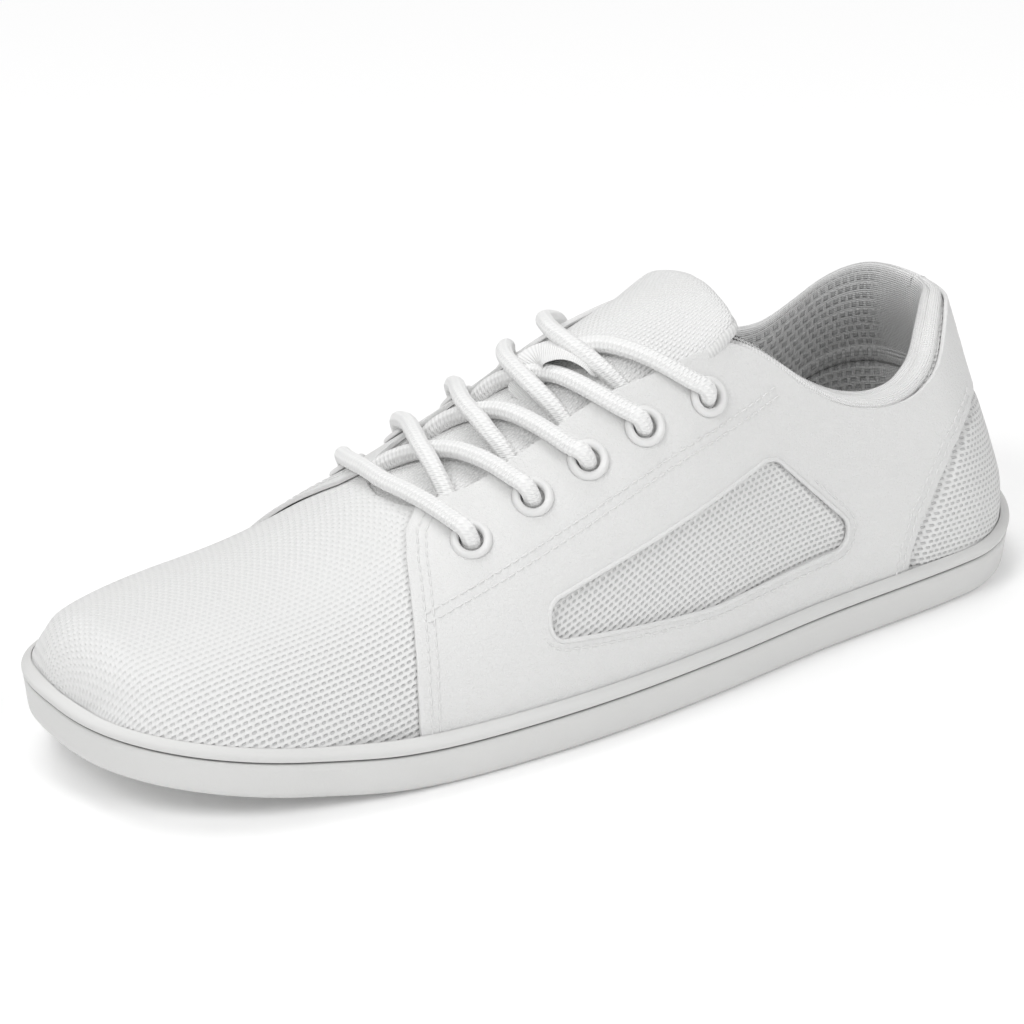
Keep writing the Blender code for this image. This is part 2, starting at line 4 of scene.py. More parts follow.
import bmesh
import bpy
import numpy as np
from mathutils import Matrix, Vector


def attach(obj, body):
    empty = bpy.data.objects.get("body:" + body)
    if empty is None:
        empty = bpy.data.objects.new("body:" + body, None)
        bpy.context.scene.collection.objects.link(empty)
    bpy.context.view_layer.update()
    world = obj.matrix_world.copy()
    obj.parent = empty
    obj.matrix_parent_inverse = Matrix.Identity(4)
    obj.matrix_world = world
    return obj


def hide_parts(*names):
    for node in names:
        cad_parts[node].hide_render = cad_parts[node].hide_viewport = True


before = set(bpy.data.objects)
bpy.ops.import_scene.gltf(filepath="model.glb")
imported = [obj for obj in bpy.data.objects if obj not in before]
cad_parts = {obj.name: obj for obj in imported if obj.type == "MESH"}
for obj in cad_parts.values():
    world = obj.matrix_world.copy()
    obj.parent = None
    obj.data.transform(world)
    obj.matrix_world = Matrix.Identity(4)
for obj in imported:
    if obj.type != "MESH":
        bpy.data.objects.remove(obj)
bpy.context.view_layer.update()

# The camera stands low over the toe, on the shoe's outer side, and looks down along it.
CAMERA_TARGET = Vector((-0.00955, -0.00185, 0.0427))
CAMERA_TURN = radians(-34.0)
CAMERA_RISE = radians(26.2)
CAMERA_DISTANCE = 1.3
CAMERA_LENS = 175.5


def facing(spot, way):
    """The matrix of something at a spot whose Z axis points a way."""
    return Matrix.Translation(Vector(spot)) @ Vector(way).to_track_quat("Z", "Y").to_matrix().to_4x4()


back = Vector((sin(CAMERA_TURN) * cos(CAMERA_RISE), -cos(CAMERA_TURN) * cos(CAMERA_RISE), sin(CAMERA_RISE)))
eye = bpy.data.cameras.new("camera")
eye.lens = CAMERA_LENS
eye.sensor_width = 36.0
eye.clip_end = 50.0
camera = bpy.data.objects.new("camera", eye)
camera.matrix_world = facing(CAMERA_TARGET + back * CAMERA_DISTANCE, back)
bpy.context.scene.collection.objects.link(camera)
bpy.context.scene.camera = camera

# Lights: a soft one high over the toe, a wide one overhead that lays the shadow forward, one
# from the camera's side that reaches into the collar, and a pale surround.
SURROUND = 0.36
LIGHTS = (
    ("key", "AREA", (-1.1, -0.35, 1.3), 0.8, 9.0),
    ("top", "SUN", (-0.1, 0.7, 1.7), 0.7, 1.15),
    ("front", "AREA", (0.2, -1.4, 1.3), 1.0, 10.0),
)
for name, kind, spot, size, power in LIGHTS:
    lamp = bpy.data.lights.new(name, kind)
    if kind == "AREA":
        lamp.shape = "DISK"
        lamp.size = size
    else:
        lamp.angle = size
    lamp.energy = power
    light = bpy.data.objects.new(name, lamp)
    light.matrix_world = facing(spot, spot)
    bpy.context.scene.collection.objects.link(light)
surround = bpy.data.worlds.new("surround")
surround.use_nodes = True
surround.node_tree.nodes["Background"].inputs["Color"].default_value = (1.0, 1.0, 1.0, 1.0)
surround.node_tree.nodes["Background"].inputs["Strength"].default_value = SURROUND
bpy.context.scene.world = surround
bpy.context.scene.view_settings.view_transform = "Standard"

# The floor: plain, nearly white, and not part of the shoe.
FLOOR_SIZE = 8.0


class Value:
    """A number that changes over a surface. Arithmetic on it adds Math nodes."""

    def __init__(self, paint, socket):
        self.paint = paint
        self.socket = socket

    def math(self, operation, *others):
        inputs = dict(enumerate((self, *others)))
        return self.paint.node("ShaderNodeMath", 0, {"operation": operation}, inputs)

    def __add__(self, other):
        return self.math("ADD", other)

    def __mul__(self, other):
        return self.math("MULTIPLY", other)

    def __sub__(self, other):
        return self.math("SUBTRACT", other)

    def __rsub__(self, other):
        return self.math("MULTIPLY", -1.0).math("ADD", other)

    def __truediv__(self, other):
        return self.math("DIVIDE", other)

    __radd__ = __add__
    __rmul__ = __mul__

    def sin(self):
        return self.math("SINE")

    def abs(self):
        return self.math("ABSOLUTE")

    def part(self):
        return self.math("FRACT")

    def floor(self):
        return self.math("FLOOR")

    def larger(self, other):
        return self.math("MAXIMUM", other)

    def step(self, low, high):
        """From 0 below low to 1 over high, on a soft line."""
        settings = {"interpolation_type": "SMOOTHSTEP"}
        inputs = {"Value": self, "From Min": low, "From Max": high, "To Min": 0.0, "To Max": 1.0}
        return self.paint.node("ShaderNodeMapRange", "Result", settings, inputs)


class Paint:
    """A material built from nodes."""

    def __init__(self, name, roughness=0.6, **constants):
        self.material = bpy.data.materials.new(name)
        self.material.use_nodes = True
        self.nodes = self.material.node_tree.nodes
        self.links = self.material.node_tree.links
        self.shader = self.nodes["Principled BSDF"]
        self.shader.inputs["Roughness"].default_value = roughness
        for key, value in constants.items():
            self.shader.inputs[key.replace("_", " ").title()].default_value = value

    def node(self, kind, output, settings=None, inputs=None):
        """Adds a node and gives back one of its outputs."""
        made = self.nodes.new(kind)
        for key, value in (settings or {}).items():
            setattr(made, key, value)
        for key, value in (inputs or {}).items():
            if isinstance(value, Value):
                self.links.new(value.socket, made.inputs[key])
            else:
                made.inputs[key].default_value = value
        return Value(self, made.outputs[output])

    def uv(self):
        """The piece's own measure along and across, in metres."""
        spot = self.node("ShaderNodeUVMap", "UV", {"uv_map": "weave"})
        return [self.node("ShaderNodeSeparateXYZ", axis, None, {"Vector": spot}) for axis in "XY"]

    def bricks(self, run, rise, wide, tall):
        """Staggered cells: the row's number, and how far a place is from its cell's middle each way."""
        row = rise / tall
        odd = (row.floor() * 0.5).part() * 2.0
        cell = (run / wide + odd * 0.5).part()
        return row, (cell - 0.5).abs(), (row.part() - 0.5).abs()

    def noise(self, size, detail=3.0, rough=0.5):
        """Cloudy values about 0.5, with features of a size in metres."""
        spot = self.node("ShaderNodeTexCoord", "Object")
        inputs = {"Vector": spot, "Scale": 1.0 / size, "Detail": detail, "Roughness": rough}
        return self.node("ShaderNodeTexNoise", "Fac", None, inputs)

    def mix(self, amount, low, high):
        """A colour between two."""
        inputs = {"Factor": amount, 6: (*low, 1.0) if isinstance(low, tuple) else low}
        inputs[7] = (*high, 1.0) if isinstance(high, tuple) else high
        return self.node("ShaderNodeMix", 2, {"data_type": "RGBA"}, inputs)

    def colour(self, value):
        self.links.new(value.socket, self.shader.inputs["Base Color"])

    def rough(self, value):
        self.links.new(value.socket, self.shader.inputs["Roughness"])

    def relief(self, height, depth, strength=1.0):
        """Bump: height from 0 to 1 stands for a depth in metres."""
        inputs = {"Height": height, "Distance": depth, "Strength": strength}
        bump = self.node("ShaderNodeBump", "Normal", None, inputs)
        self.links.new(bump.socket, self.shader.inputs["Normal"])


def finish_mesh(bm, name, paint):
    """An object from a bmesh, with its material."""
    mesh = bpy.data.meshes.new(name)
    bm.to_mesh(mesh)
    bm.free()
    mesh.materials.append(paint.material)
    mesh.polygons.foreach_set("use_smooth", [True] * len(mesh.polygons))
    made = bpy.data.objects.new(name, mesh)
    bpy.context.scene.collection.objects.link(made)
    return made


floor_paint = Paint(
    "floor_white",
    0.9,
    base_color=(0.98, 0.98, 0.98, 1.0),
    emission_color=(1.0, 1.0, 1.0, 1.0),
    emission_strength=0.06,
)
bm = bmesh.new()
bmesh.ops.create_grid(bm, x_segments=1, y_segments=1, size=FLOOR_SIZE / 2)
floor = finish_mesh(bm, "floor", floor_paint)

# The last: the form that the shoe is built on. Every piece below is laid on it, at its own
# distance. s runs along it from the heel to the toe, f from the feather line up to the ridge.
LAST_LENGTH = 0.282
LAST_SHIFT = -0.00185
BALL_WIDTH = 0.098
HEEL_WIDTH = 0.073
INSTEP_HEIGHT = 0.0895
TOE_HEIGHT = 0.0335
TOE_SPRING = 0.011
HEEL_SPRING = 0.003
HEEL_LEAN = radians(16.0)
HEEL_CUP = 0.014
HEEL_ROUND = 0.11
HEEL_POWER = 2.1
TOE_ROUND = 0.20
TOE_POWER = 2.8
NOSE_ROUND = 0.05
NOSE_POWER = 2.6
SPRING_START = 0.67
HEEL_SPRING_END = 0.12
LEAN_END = 0.35
SOLE_FLOOR = 0.006
LEATHER = 0.0012
KNIT_WALL = 0.0018
GAP = 0.0003
COVER_START = 0.745
COVER_END = 0.84
LATERAL = -1
MEDIAL = 1
SIDES = ((LATERAL, "lateral"), (MEDIAL, "medial"))

Section = namedtuple("Section", "at centre heel ball instep toe lean rise crown bulge")
SECTIONS = (
    Section(0.00, 0.000, 0.89, 0.00, 1.08, 0.00, -0.030, 0.42, 0.34, 0.06),
    Section(0.12, -0.010, 1.00, 0.00, 1.10, 0.00, -0.030, 0.40, 0.44, 0.03),
    Section(0.30, -0.036, 0.50, 0.40, 1.10, 0.00, -0.005, 0.43, 0.48, 0.02),
    Section(0.42, -0.046, 0.20, 0.69, 1.00, 0.00, 0.015, 0.48, 0.53, 0.02),
    Section(0.55, -0.026, 0.00, 0.93, 0.76, 0.00, 0.036, 0.53, 0.50, 0.03),
    Section(0.65, 0.005, 0.00, 0.98, 0.46, 0.36, 0.036, 0.55, 0.50, 0.04),
    Section(0.75, 0.036, 0.00, 0.985, 0.15, 0.81, 0.026, 0.60, 0.53, 0.04),
    Section(0.87, 0.046, 0.00, 0.89, 0.00, 1.00, 0.010, 0.66, 0.60, 0.03),
    Section(1.00, 0.060, 0.00, 0.73, 0.00, 0.78, 0.000, 0.70, 0.64, 0.02),
)


def between(rows, at, column):
    """The value of a table's column at places along the last, on a smooth line."""
    x = np.array([row.at for row in rows])
    y = np.array([getattr(row, column) for row in rows])
    at = np.clip(at, x[0], x[-1])
    step = np.diff(x)
    rise = np.diff(y) / step
    inner = (rise[:-1] * step[1:] + rise[1:] * step[:-1]) / (step[:-1] + step[1:])
    slope = np.concatenate([rise[:1], inner, rise[-1:]])
    k = np.clip(np.searchsorted(x, at, side="right") - 1, 0, len(x) - 2)
    t = (at - x[k]) / step[k]
    start = y[k] * (1 + 2 * t) * (1 - t) ** 2 + slope[k] * step[k] * t * (1 - t) ** 2
    return start + y[k + 1] * t * t * (3 - 2 * t) + slope[k + 1] * step[k] * t * t * (t - 1)


def cap(distance, length, power):
    """From 0 at a round end to 1 where the round is over."""
    left = np.clip(1 - distance / length, 0, 1)
    return (1 - left**power) ** (1 / power)


def spring(s):
    """How far the sole lifts off the floor."""
    toe = np.clip((s - SPRING_START) / (1 - SPRING_START), 0, 1)
    heel = np.clip((HEEL_SPRING_END - s) / HEEL_SPRING_END, 0, 1)
    return TOE_SPRING * toe**2 + HEEL_SPRING * heel**2


def soft_step(x, low, high):
    """From 0 to 1 on a soft line."""
    t = np.clip((x - low) / (high - low), 0, 1)
    return t * t * (3 - 2 * t)


def cover(s):
    """The leather's thickness with its gap, fading out where the knit toe begins."""
    return (LEATHER + GAP) * (1 - soft_step(s, COVER_START, COVER_END))


def last_point(s, f, side, offset=0.0):
    """Points on the last, at an offset from it."""
    s, f = np.broadcast_arrays(np.asarray(s, float), np.asarray(f, float))
    low = 3 * (1 - f) ** 2 * f
    high = 3 * (1 - f) * f * f
    bulge = low * (1 + between(SECTIONS, s, "bulge"))
    across = (1 - f) ** 3 + bulge + high * between(SECTIONS, s, "crown")
    up = low * between(SECTIONS, s, "rise") + high + f**3
    width = between(SECTIONS, s, "heel") * HEEL_WIDTH + between(SECTIONS, s, "ball") * BALL_WIDTH
    half = width / 2 + offset
    half = half * cap(s, HEEL_ROUND, HEEL_POWER) * cap(1 - s, TOE_ROUND, TOE_POWER)
    tall = between(SECTIONS, s, "instep") * INSTEP_HEIGHT + between(SECTIONS, s, "toe") * TOE_HEIGHT + offset
    z = tall * cap(1 - s, NOSE_ROUND, NOSE_POWER) * up
    x = (LAST_LENGTH + 2 * offset) * (0.5 - s) - (LEATHER + GAP) / 2
    x = x - z * z / (z + HEEL_CUP) * tan(HEEL_LEAN) * np.clip(1 - s / LEAN_END, 0, 1) ** 2
    y = (between(SECTIONS, s, "centre") + between(SECTIONS, s, "lean") * up) * BALL_WIDTH
    return np.stack([x, y + LAST_SHIFT + side * half * across, SOLE_FLOOR + spring(s) + z], -1)


def outward(s, f, side):
    """The directions straight out of the last."""
    step = 0.004
    s = np.clip(s, 0.002, 0.998)
    along = last_point(s - step / 2, f, side) - last_point(s + step / 2, f, side)
    up = last_point(s, np.asarray(f) + step, side) - last_point(s, np.asarray(f) - step, side)
    out = np.cross(up, along) * side
    return out / np.maximum(np.linalg.norm(out, axis=-1, keepdims=True), 1e-12)


SETTLE = 0.0026
SETTLE_RISE = 0.42
SETTLE_FOOT = 0.14


def settle(s, f):
    """How far the upper spreads over the sole's bead round the toe and the heel."""
    s, f = np.asarray(s, float), np.asarray(f, float)
    ends = np.clip((s - 0.70) / 0.20, 0, 1) + np.clip((0.16 - s) / 0.12, 0, 1)
    return SETTLE * ends * soft_step(1 - f / SETTLE_RISE, 0, 1) * np.clip(f / SETTLE_FOOT, 0, 1)


def rise_to(s, side, z):
    """How far up the section the last reaches a height."""
    s, z = np.broadcast_arrays(np.asarray(s, float), np.asarray(z, float))
    below, above = np.zeros(s.shape), np.ones(s.shape)
    for _ in range(26):
        middle = (below + above) / 2
        under = last_point(s, middle, side)[..., 2] < z
        below = np.where(under, middle, below)
        above = np.where(under, above, middle)
    return (below + above) / 2


def place_of(x, z, side):
    """The s and f whose point has this x and z in the side view."""
    s = 0.5 - np.asarray(x, float) / LAST_LENGTH
    for _ in range(14):
        f = rise_to(s, side, z)
        s = np.clip(s + (last_point(s, f, side)[..., 0] - x) / LAST_LENGTH, 0, 1)
    return s, rise_to(s, side, z)


# The edges of the upper: its collar, its throat and the leather's seams, as on the solids.
HEEL_HEIGHT = 0.073
THROAT_FRONT = 0.668
THROAT_GAP = 0.034
THROAT_ROUND = 0.022

Collar = namedtuple("Collar", "at lateral medial")
COLLAR = (
    Collar(-0.20, 0.985, 0.985),
    Collar(0.020, 0.985, 0.985),
    Collar(0.060, 1.030, 1.030),
    Collar(0.082, 1.035, 1.045),
    Collar(0.098, 0.990, 1.030),
    Collar(0.120, 0.895, 0.985),
    Collar(0.145, 0.835, 0.915),
    Collar(0.180, 0.812, 0.840),
    Collar(0.215, 0.833, 0.840),
    Collar(0.250, 0.887, 0.890),
    Collar(0.280, 0.963, 0.965),
    Collar(0.305, 1.050, 1.050),
    Collar(0.330, 1.131, 1.131),
    Collar(0.355, 1.180, 1.180),
    Collar(0.380, 1.196, 1.196),
    Collar(0.412, 1.190, 1.190),
)
Half = namedtuple("Half", "at half")
THROAT = (
    Half(0.30, 0.56),
    Half(0.39, 0.57),
    Half(0.43, 0.57),
    Half(0.49, 0.51),
    Half(0.56, 0.50),
    Half(0.67, 0.49),
)


def collar_height(s, side):
    """The height of the collar's edge, at an s read off its x in the side view."""
    return between(COLLAR, s, "lateral" if side == LATERAL else "medial") * HEEL_HEIGHT


def collar_rise(s, side):
    """How far up the section the collar's edge lies."""
    s = np.asarray(s, float)
    f = rise_to(s, side, collar_height(s, side))
    for _ in range(12):
        seen = 0.5 - last_point(s, f, side)[..., 0] / LAST_LENGTH
        f = rise_to(s, side, collar_height(seen, side))
    return f


def throat_rise(s, side):
    """How far up the section the throat's edge lies."""
    s = np.asarray(s, float)
    half = between(THROAT, s, "half") * THROAT_GAP * cap(THROAT_FRONT - s, THROAT_ROUND / LAST_LENGTH, 2.2)
    middle = last_point(s, 1.0, side)[..., 1]
    below, above = np.full(s.shape, 0.4), np.ones(s.shape)
    for _ in range(26):
        f = (below + above) / 2
        wide = np.abs(last_point(s, f, side)[..., 1] - middle) > half
        below = np.where(wide, f, below)
        above = np.where(wide, above, f)
    return np.where((s < THROAT_FRONT) & (s > THROAT[0].at), (below + above) / 2, 1.0)


def top_rise(s, side):
    """The upper's edge: the collar behind, the throat in front."""
    s = np.asarray(s, float)
    shape = s.shape
    s, back = np.unique(s, return_inverse=True)
    collar = np.where(s < COLLAR[-1].at, collar_rise(np.minimum(s, COLLAR[-1].at), side), 1.0)
    return np.minimum(collar, throat_rise(s, side))[back].reshape(shape)


def along(t):
    """Places along the last, closer together at its ends."""
    return 0.5 - 0.5 * np.cos(pi * np.asarray(t))


def share(s):
    """The other way round."""
    return np.arccos(np.clip(1 - 2 * np.asarray(s, float), -1, 1)) / pi


# Soft creases and hollows of the upper: where, how long and wide, how deep, and turned how far.
Crease = namedtuple("Crease", "s f long wide depth turn")
CREASES = (
    Crease(0.20, 0.38, 0.10, 0.16, -0.0010, 0.0),
    Crease(0.27, 0.62, 0.05, 0.10, 0.0006, 20.0),
)


def relief(s, f, side):
    """How far the upper stands out at the creases."""
    total = np.zeros(np.broadcast(s, f).shape)
    for crease in CREASES:
        turn = radians(crease.turn)
        a, b = s - crease.s, (f - crease.f) * 0.4
        long = (a * cos(turn) + b * sin(turn)) / crease.long
        wide = (b * cos(turn) - a * sin(turn)) / (crease.wide * 0.4)
        total = total + crease.depth * np.exp(-long * long - wide * wide)
    return total


def on_upper(s, f, side, offset):
    """A point of the upper with its creases, at an offset from the last."""
    return last_point(s, f, side, offset + settle(s, f)) + outward(s, f, side) * relief(s, f, side)[..., None]


# The knit upper: one sock-like mesh over the whole last, white, with rows of small staggered holes that open
# towards the sides. The holes are not cut: they are painted grey as painted shade and pressed in by the bump.
# It shows at the toe, in the windows and round the heel.
KNIT_ROW = 0.00150
KNIT_STITCH = 0.00190
KNIT_TUCK = 0.012
TUCK_START = 0.10
TUCK_FULL = 0.16
INSIDE = Vector((0.0, 0.0, 0.03))


def sheet(bm, columns, rows, place, weave):
    """A grid moved onto the shoe: place turns u and v from 0 to 1 into points, weave into metres."""
    known = len(bm.verts)
    bmesh.ops.create_grid(bm, x_segments=columns, y_segments=rows, size=0.5)
    bm.verts.ensure_lookup_table()
    verts = bm.verts[known:]
    uv = np.array([(v.co.x + 0.5, v.co.y + 0.5) for v in verts])
    layer = bm.loops.layers.uv.get("weave") or bm.loops.layers.uv.new("weave")
    woven = np.stack(weave(uv[:, 0], uv[:, 1]), -1)
    lookup = {v: tuple(w) for v, w in zip(verts, woven)}
    for vert, spot in zip(verts, place(uv[:, 0], uv[:, 1])):
        vert.co = spot
    for face in {face for vert in verts for face in vert.link_faces}:
        for loop in face.loops:
            loop[layer].uv = lookup[loop.vert]
    return verts


TABLE_S = np.linspace(0.0, 1.0, 161)
TABLE_F = np.linspace(0.0, 1.0, 61)
ARCS = {}
for side, _ in SIDES:
    spots = last_point(along(TABLE_S)[:, None], TABLE_F[None, :], side)
    runs = np.linalg.norm(np.diff(spots, axis=0), axis=-1)
    rises = np.linalg.norm(np.diff(spots, axis=1), axis=-1)
    runs = np.concatenate([np.zeros((1, len(TABLE_F))), np.cumsum(runs, axis=0)])
    rises = np.concatenate([np.zeros((len(TABLE_S), 1)), np.cumsum(rises, axis=1)], axis=1)
    ARCS[side] = (runs - runs[80], rises - rises[:, -1:])


def arc(s, f, side):
    """The way along the shoe and up its side, measured on the surface in metres."""
    a = share(s) * (len(TABLE_S) - 1)
    b = np.asarray(f) * (len(TABLE_F) - 1)
    i = np.clip(a.astype(int), 0, len(TABLE_S) - 2)
    j = np.clip(b.astype(int), 0, len(TABLE_F) - 2)
    a, b = a - i, b - j
    found = []
    for table in ARCS[side]:
        low = table[i, j] * (1 - a) + table[i + 1, j] * a
        high = table[i, j + 1] * (1 - a) + table[i + 1, j + 1] * a
        found.append(low * (1 - b) + high * b)
    return found[0], found[1] * side


def face_out(bm, middle, near=1e-6, even_out=True):
    """Turns the faces so that they look away from a point inside."""
    bmesh.ops.remove_doubles(bm, verts=bm.verts, dist=near)
    bmesh.ops.dissolve_degenerate(bm, edges=bm.edges, dist=1e-7)
    if even_out:
        bmesh.ops.recalc_face_normals(bm, faces=bm.faces)
    away = sum((face.calc_center_median() - middle).dot(face.normal) * face.calc_area() for face in bm.faces)
    if away < 0:
        bmesh.ops.reverse_faces(bm, faces=bm.faces)


def wall(piece, thickness, bevel=0.0):
    """Gives a sheet its thickness, inward, and rounds its rim."""
    solid = piece.modifiers.new("wall", "SOLIDIFY")
    solid.thickness = thickness
    solid.offset = -1.0
    if bevel:
        edge = piece.modifiers.new("rim", "BEVEL")
        edge.width = bevel
        edge.segments = 2
        edge.limit_method = "ANGLE"
        edge.angle_limit = radians(50)


knit_paint = Paint("white_knit_mesh", 0.85, sheen_weight=0.15)
run, rise = knit_paint.uv()
row, lengthwise, across = knit_paint.bricks(run, rise, KNIT_STITCH, KNIT_ROW)
# Painted shade: the holes' grey stands in for the shade inside each hole, and it grows where the holes open
# wider towards the sides.
hole = (1.0 - across.step(0.10, 0.30)) * (1.0 - lengthwise.step(0.16, 0.36))
strand = (row * 2 * pi).sin() * 0.25 + (run / KNIT_STITCH * 4 * pi).sin() * 0.12 + 0.5
fuzz = knit_paint.noise(0.0007)
open_part = rise.abs().step(0.018, 0.055) * 0.42 + 0.10
knit_paint.colour(knit_paint.mix(hole * open_part, (0.78, 0.78, 0.775), (0.42, 0.42, 0.42)))
knit_paint.relief(strand * 0.5 + fuzz * 0.25 - hole * (open_part + 0.15), 0.0006, 0.9)

UPPER_COLUMNS = 300
UPPER_ROWS = 60
COUNTER_PUFF = 0.0015
COUNTER_SOFT = 0.005
COUNTER_TOP = 0.335
COUNTER_TALL = 0.11
Mark = namedtuple("Mark", "f s")
COUNTER_MARKS = (
    Mark(0.00, 0.187),
    Mark(0.10, 0.170),
    Mark(0.20, 0.138),
    Mark(0.27, 0.105),
    Mark(0.31, 0.070),
    Mark(0.333, 0.020),
    Mark(0.34, 0.0),
)


def counter_puff(s, f):
    """How far the knit stands out between the leather's edges at the heel."""
    high, back_to = np.array(COUNTER_MARKS).T
    inside = (np.interp(f, high, back_to) - s) * LAST_LENGTH
    under = (COUNTER_TOP - f) * COUNTER_TALL
    return COUNTER_PUFF * soft_step(np.minimum(inside, under), 0, COUNTER_SOFT)


def knit_place(s, v, side):
    """The knit ends just under the leather's folded edge."""
    top = top_rise(s, side)
    tuck = np.clip((1 - top) / 0.1, 0, 1) * np.clip((s - TUCK_START) / (TUCK_FULL - TUCK_START), 0, 1)
    f = v * (top - KNIT_TUCK * tuck)
    return on_upper(s, f, side, counter_puff(s, f))


bm = bmesh.new()
for side, _ in SIDES:
    def place_knit(u, v):
        return knit_place(along(u), v, side)

    def weave_knit(u, v):
        return arc(along(u), v * top_rise(along(u), side), side)

    sheet(bm, UPPER_COLUMNS, UPPER_ROWS, place_knit, weave_knit)
face_out(bm, INSIDE)
knit = finish_mesh(bm, "knit_upper", knit_paint)
wall(knit, KNIT_WALL)
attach(knit, "root")
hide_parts("upper")

# The leather sides: one cut panel each, fine-grained and satin, sewn over the knit with a
# window, and folded at the throat and the collar.
Edge = namedtuple("Edge", "at high")
VAMP_EDGE = (
    Edge(0.662, 0.763),
    Edge(0.677, 0.723),
    Edge(0.691, 0.661),
    Edge(0.707, 0.561),
    Edge(0.720, 0.458),
    Edge(0.731, 0.344),
    Edge(0.737, 0.239),
    Edge(0.740, 0.100),
)
COUNTER_EDGE = (
    Edge(0.184, 0.155),
    Edge(0.177, 0.260),
    Edge(0.163, 0.377),
    Edge(0.140, 0.492),
    Edge(0.118, 0.590),
    Edge(0.098, 0.649),
    Edge(0.075, 0.693),
    Edge(0.050, 0.703),
    Edge(0.020, 0.712),
)
Corner = namedtuple("Corner", "at high radius")
WINDOW = (
    Corner(0.597, 0.395, 0.0034),
    Corner(0.590, 0.510, 0.0050),
    Corner(0.332, 0.780, 0.0060),
    Corner(0.231, 0.374, 0.0050),
    Corner(0.420, 0.336, 0.0600),
)
THROAT_CORNER = 0.6505
PANEL_COLUMNS = 300
PANEL_ROWS = 110
PANEL_TALL = 0.11
PANEL_END = 0.752
MERGE = 0.00025

leather_paint = Paint("white_leather_grain", 0.5)
grain = leather_paint.noise(0.0008, 4.0, 0.6)
pores = leather_paint.noise(0.00035, 2.0)
cloud = leather_paint.noise(0.03, 2.0)
leather_paint.colour(leather_paint.mix(cloud, (0.75, 0.75, 0.745), (0.77, 0.77, 0.765)))
leather_paint.rough(0.44 + grain * 0.16)
leather_paint.relief(grain * 0.6 + pores * 0.4, 0.0005, 0.9)


def edge_places(rows, side):
    """An edge table as s and f on one side."""
    x = np.array([LAST_LENGTH * (0.5 - row.at) for row in rows])
    z = np.array([row.high * HEEL_HEIGHT for row in rows])
    return np.stack(place_of(x, z, side), -1)


def way_along(points):
    """How far each point lies from the first, along their line."""
    return np.concatenate([[0.0], np.cumsum(np.linalg.norm(np.diff(points, axis=0), axis=1))])


def between_points(at, way, points):
    """Places on the line through points, at ways along it."""
    return np.stack([np.interp(at, way, column) for column in points.T], -1)


def seams(side):
    """What is cut off a side's grid: in front of the vamp seam and behind the counter seam."""
    corner = (THROAT_CORNER, float(throat_rise(np.array([THROAT_CORNER]), side)[0]))
    vamp = edge_places(VAMP_EDGE, side)[::-1]
    around = [corner, (THROAT_CORNER, 1.2), (1.2, 1.2), (1.2, -0.1)]
    front = np.vstack([[(0.742, -0.1), (0.741, 0.0)], vamp, around])
    counter = edge_places(COUNTER_EDGE, side)
    rear = np.vstack([[(0.188, -0.1), (0.187, 0.0)], counter, [(-0.2, counter[-1][1]), (-0.2, -0.1)]])
    return front, rear


def rounded(corners, steps=10):
    """A closed outline in the side view whose corners are arcs."""
    spots = [Vector((LAST_LENGTH * (0.5 - c.at), c.high * HEEL_HEIGHT)) for c in corners]
    outline = []
    for i, corner in enumerate(corners):
        here = spots[i]
        behind = (spots[i - 1] - here).normalized()
        ahead = (spots[(i + 1) % len(spots)] - here).normalized()
        half = behind.angle(ahead) / 2
        centre = here + (behind + ahead).normalized() * corner.radius / sin(half)
        first = here + behind * corner.radius / tan(half) - centre
        last = here + ahead * corner.radius / tan(half) - centre
        start = atan2(first.y, first.x)
        turn = (atan2(last.y, last.x) - start + pi) % (2 * pi) - pi
        for k in range(steps + 1):
            angle = start + turn * k / steps
            outline.append(centre + Vector((cos(angle), sin(angle))) * corner.radius)
    return np.array(outline)


def closed_line(points, step):
    """Evenly spaced points on a closed line."""
    points = np.vstack([points, points[:1]])
    way = way_along(points)
    count = max(8, round(way[-1] / step))
    return between_points(np.linspace(0, way[-1], count, endpoint=False), way, points)


def within(points, outline):
    """Which points of the side view lie inside an outline."""
    inside = np.zeros(len(points), bool)
    for a, b in zip(outline, np.roll(outline, -1, axis=0)):
        crosses = (a[1] > points[:, 1]) != (b[1] > points[:, 1])
        x = a[0] + (points[:, 1] - a[1]) * (b[0] - a[0]) / (b[1] - a[1] + 1e-15)
        inside ^= crosses & (points[:, 0] < x)
    return inside


Eyelet = namedtuple("Eyelet", "lateral medial up")
EYELETS = (
    Eyelet(0.632, 0.640, 0.617),
    Eyelet(0.568, 0.586, 0.618),
    Eyelet(0.511, 0.529, 0.610),
    Eyelet(0.454, 0.472, 0.592),
    Eyelet(0.386, 0.412, 0.571),
)
EYELET_CUT = 0.0036


def eyelet_at(eyelet, side):
    """Where an eyelet lies along the last."""
    return eyelet.lateral if side == LATERAL else eyelet.medial


def punch(bm, side):
    """Cuts the eyelets' holes, each edge pulled to a circle."""
    for eyelet in EYELETS:
        at = eyelet_at(eyelet, side)
        middle = Vector(on_upper(at, eyelet.up, side, 0.0))
        axis = Vector(outward(at, eyelet.up, side))

        def far(spot):
            way = spot - middle
            return way - axis * way.dot(axis), way.dot(axis)

        near = [v for v in bm.verts if (v.co - middle).length < 2.5 * EYELET_CUT]
        inner = [v for v in near if far(v.co)[0].length < EYELET_CUT and abs(far(v.co)[1]) < 0.004]
        rim = {e.other_vert(v) for v in inner for e in v.link_edges} - set(inner)
        for v in rim:
            flat, high = far(v.co)
            v.co = middle + flat.normalized() * EYELET_CUT + axis * high
        bmesh.ops.delete(bm, geom=inner, context="VERTS")


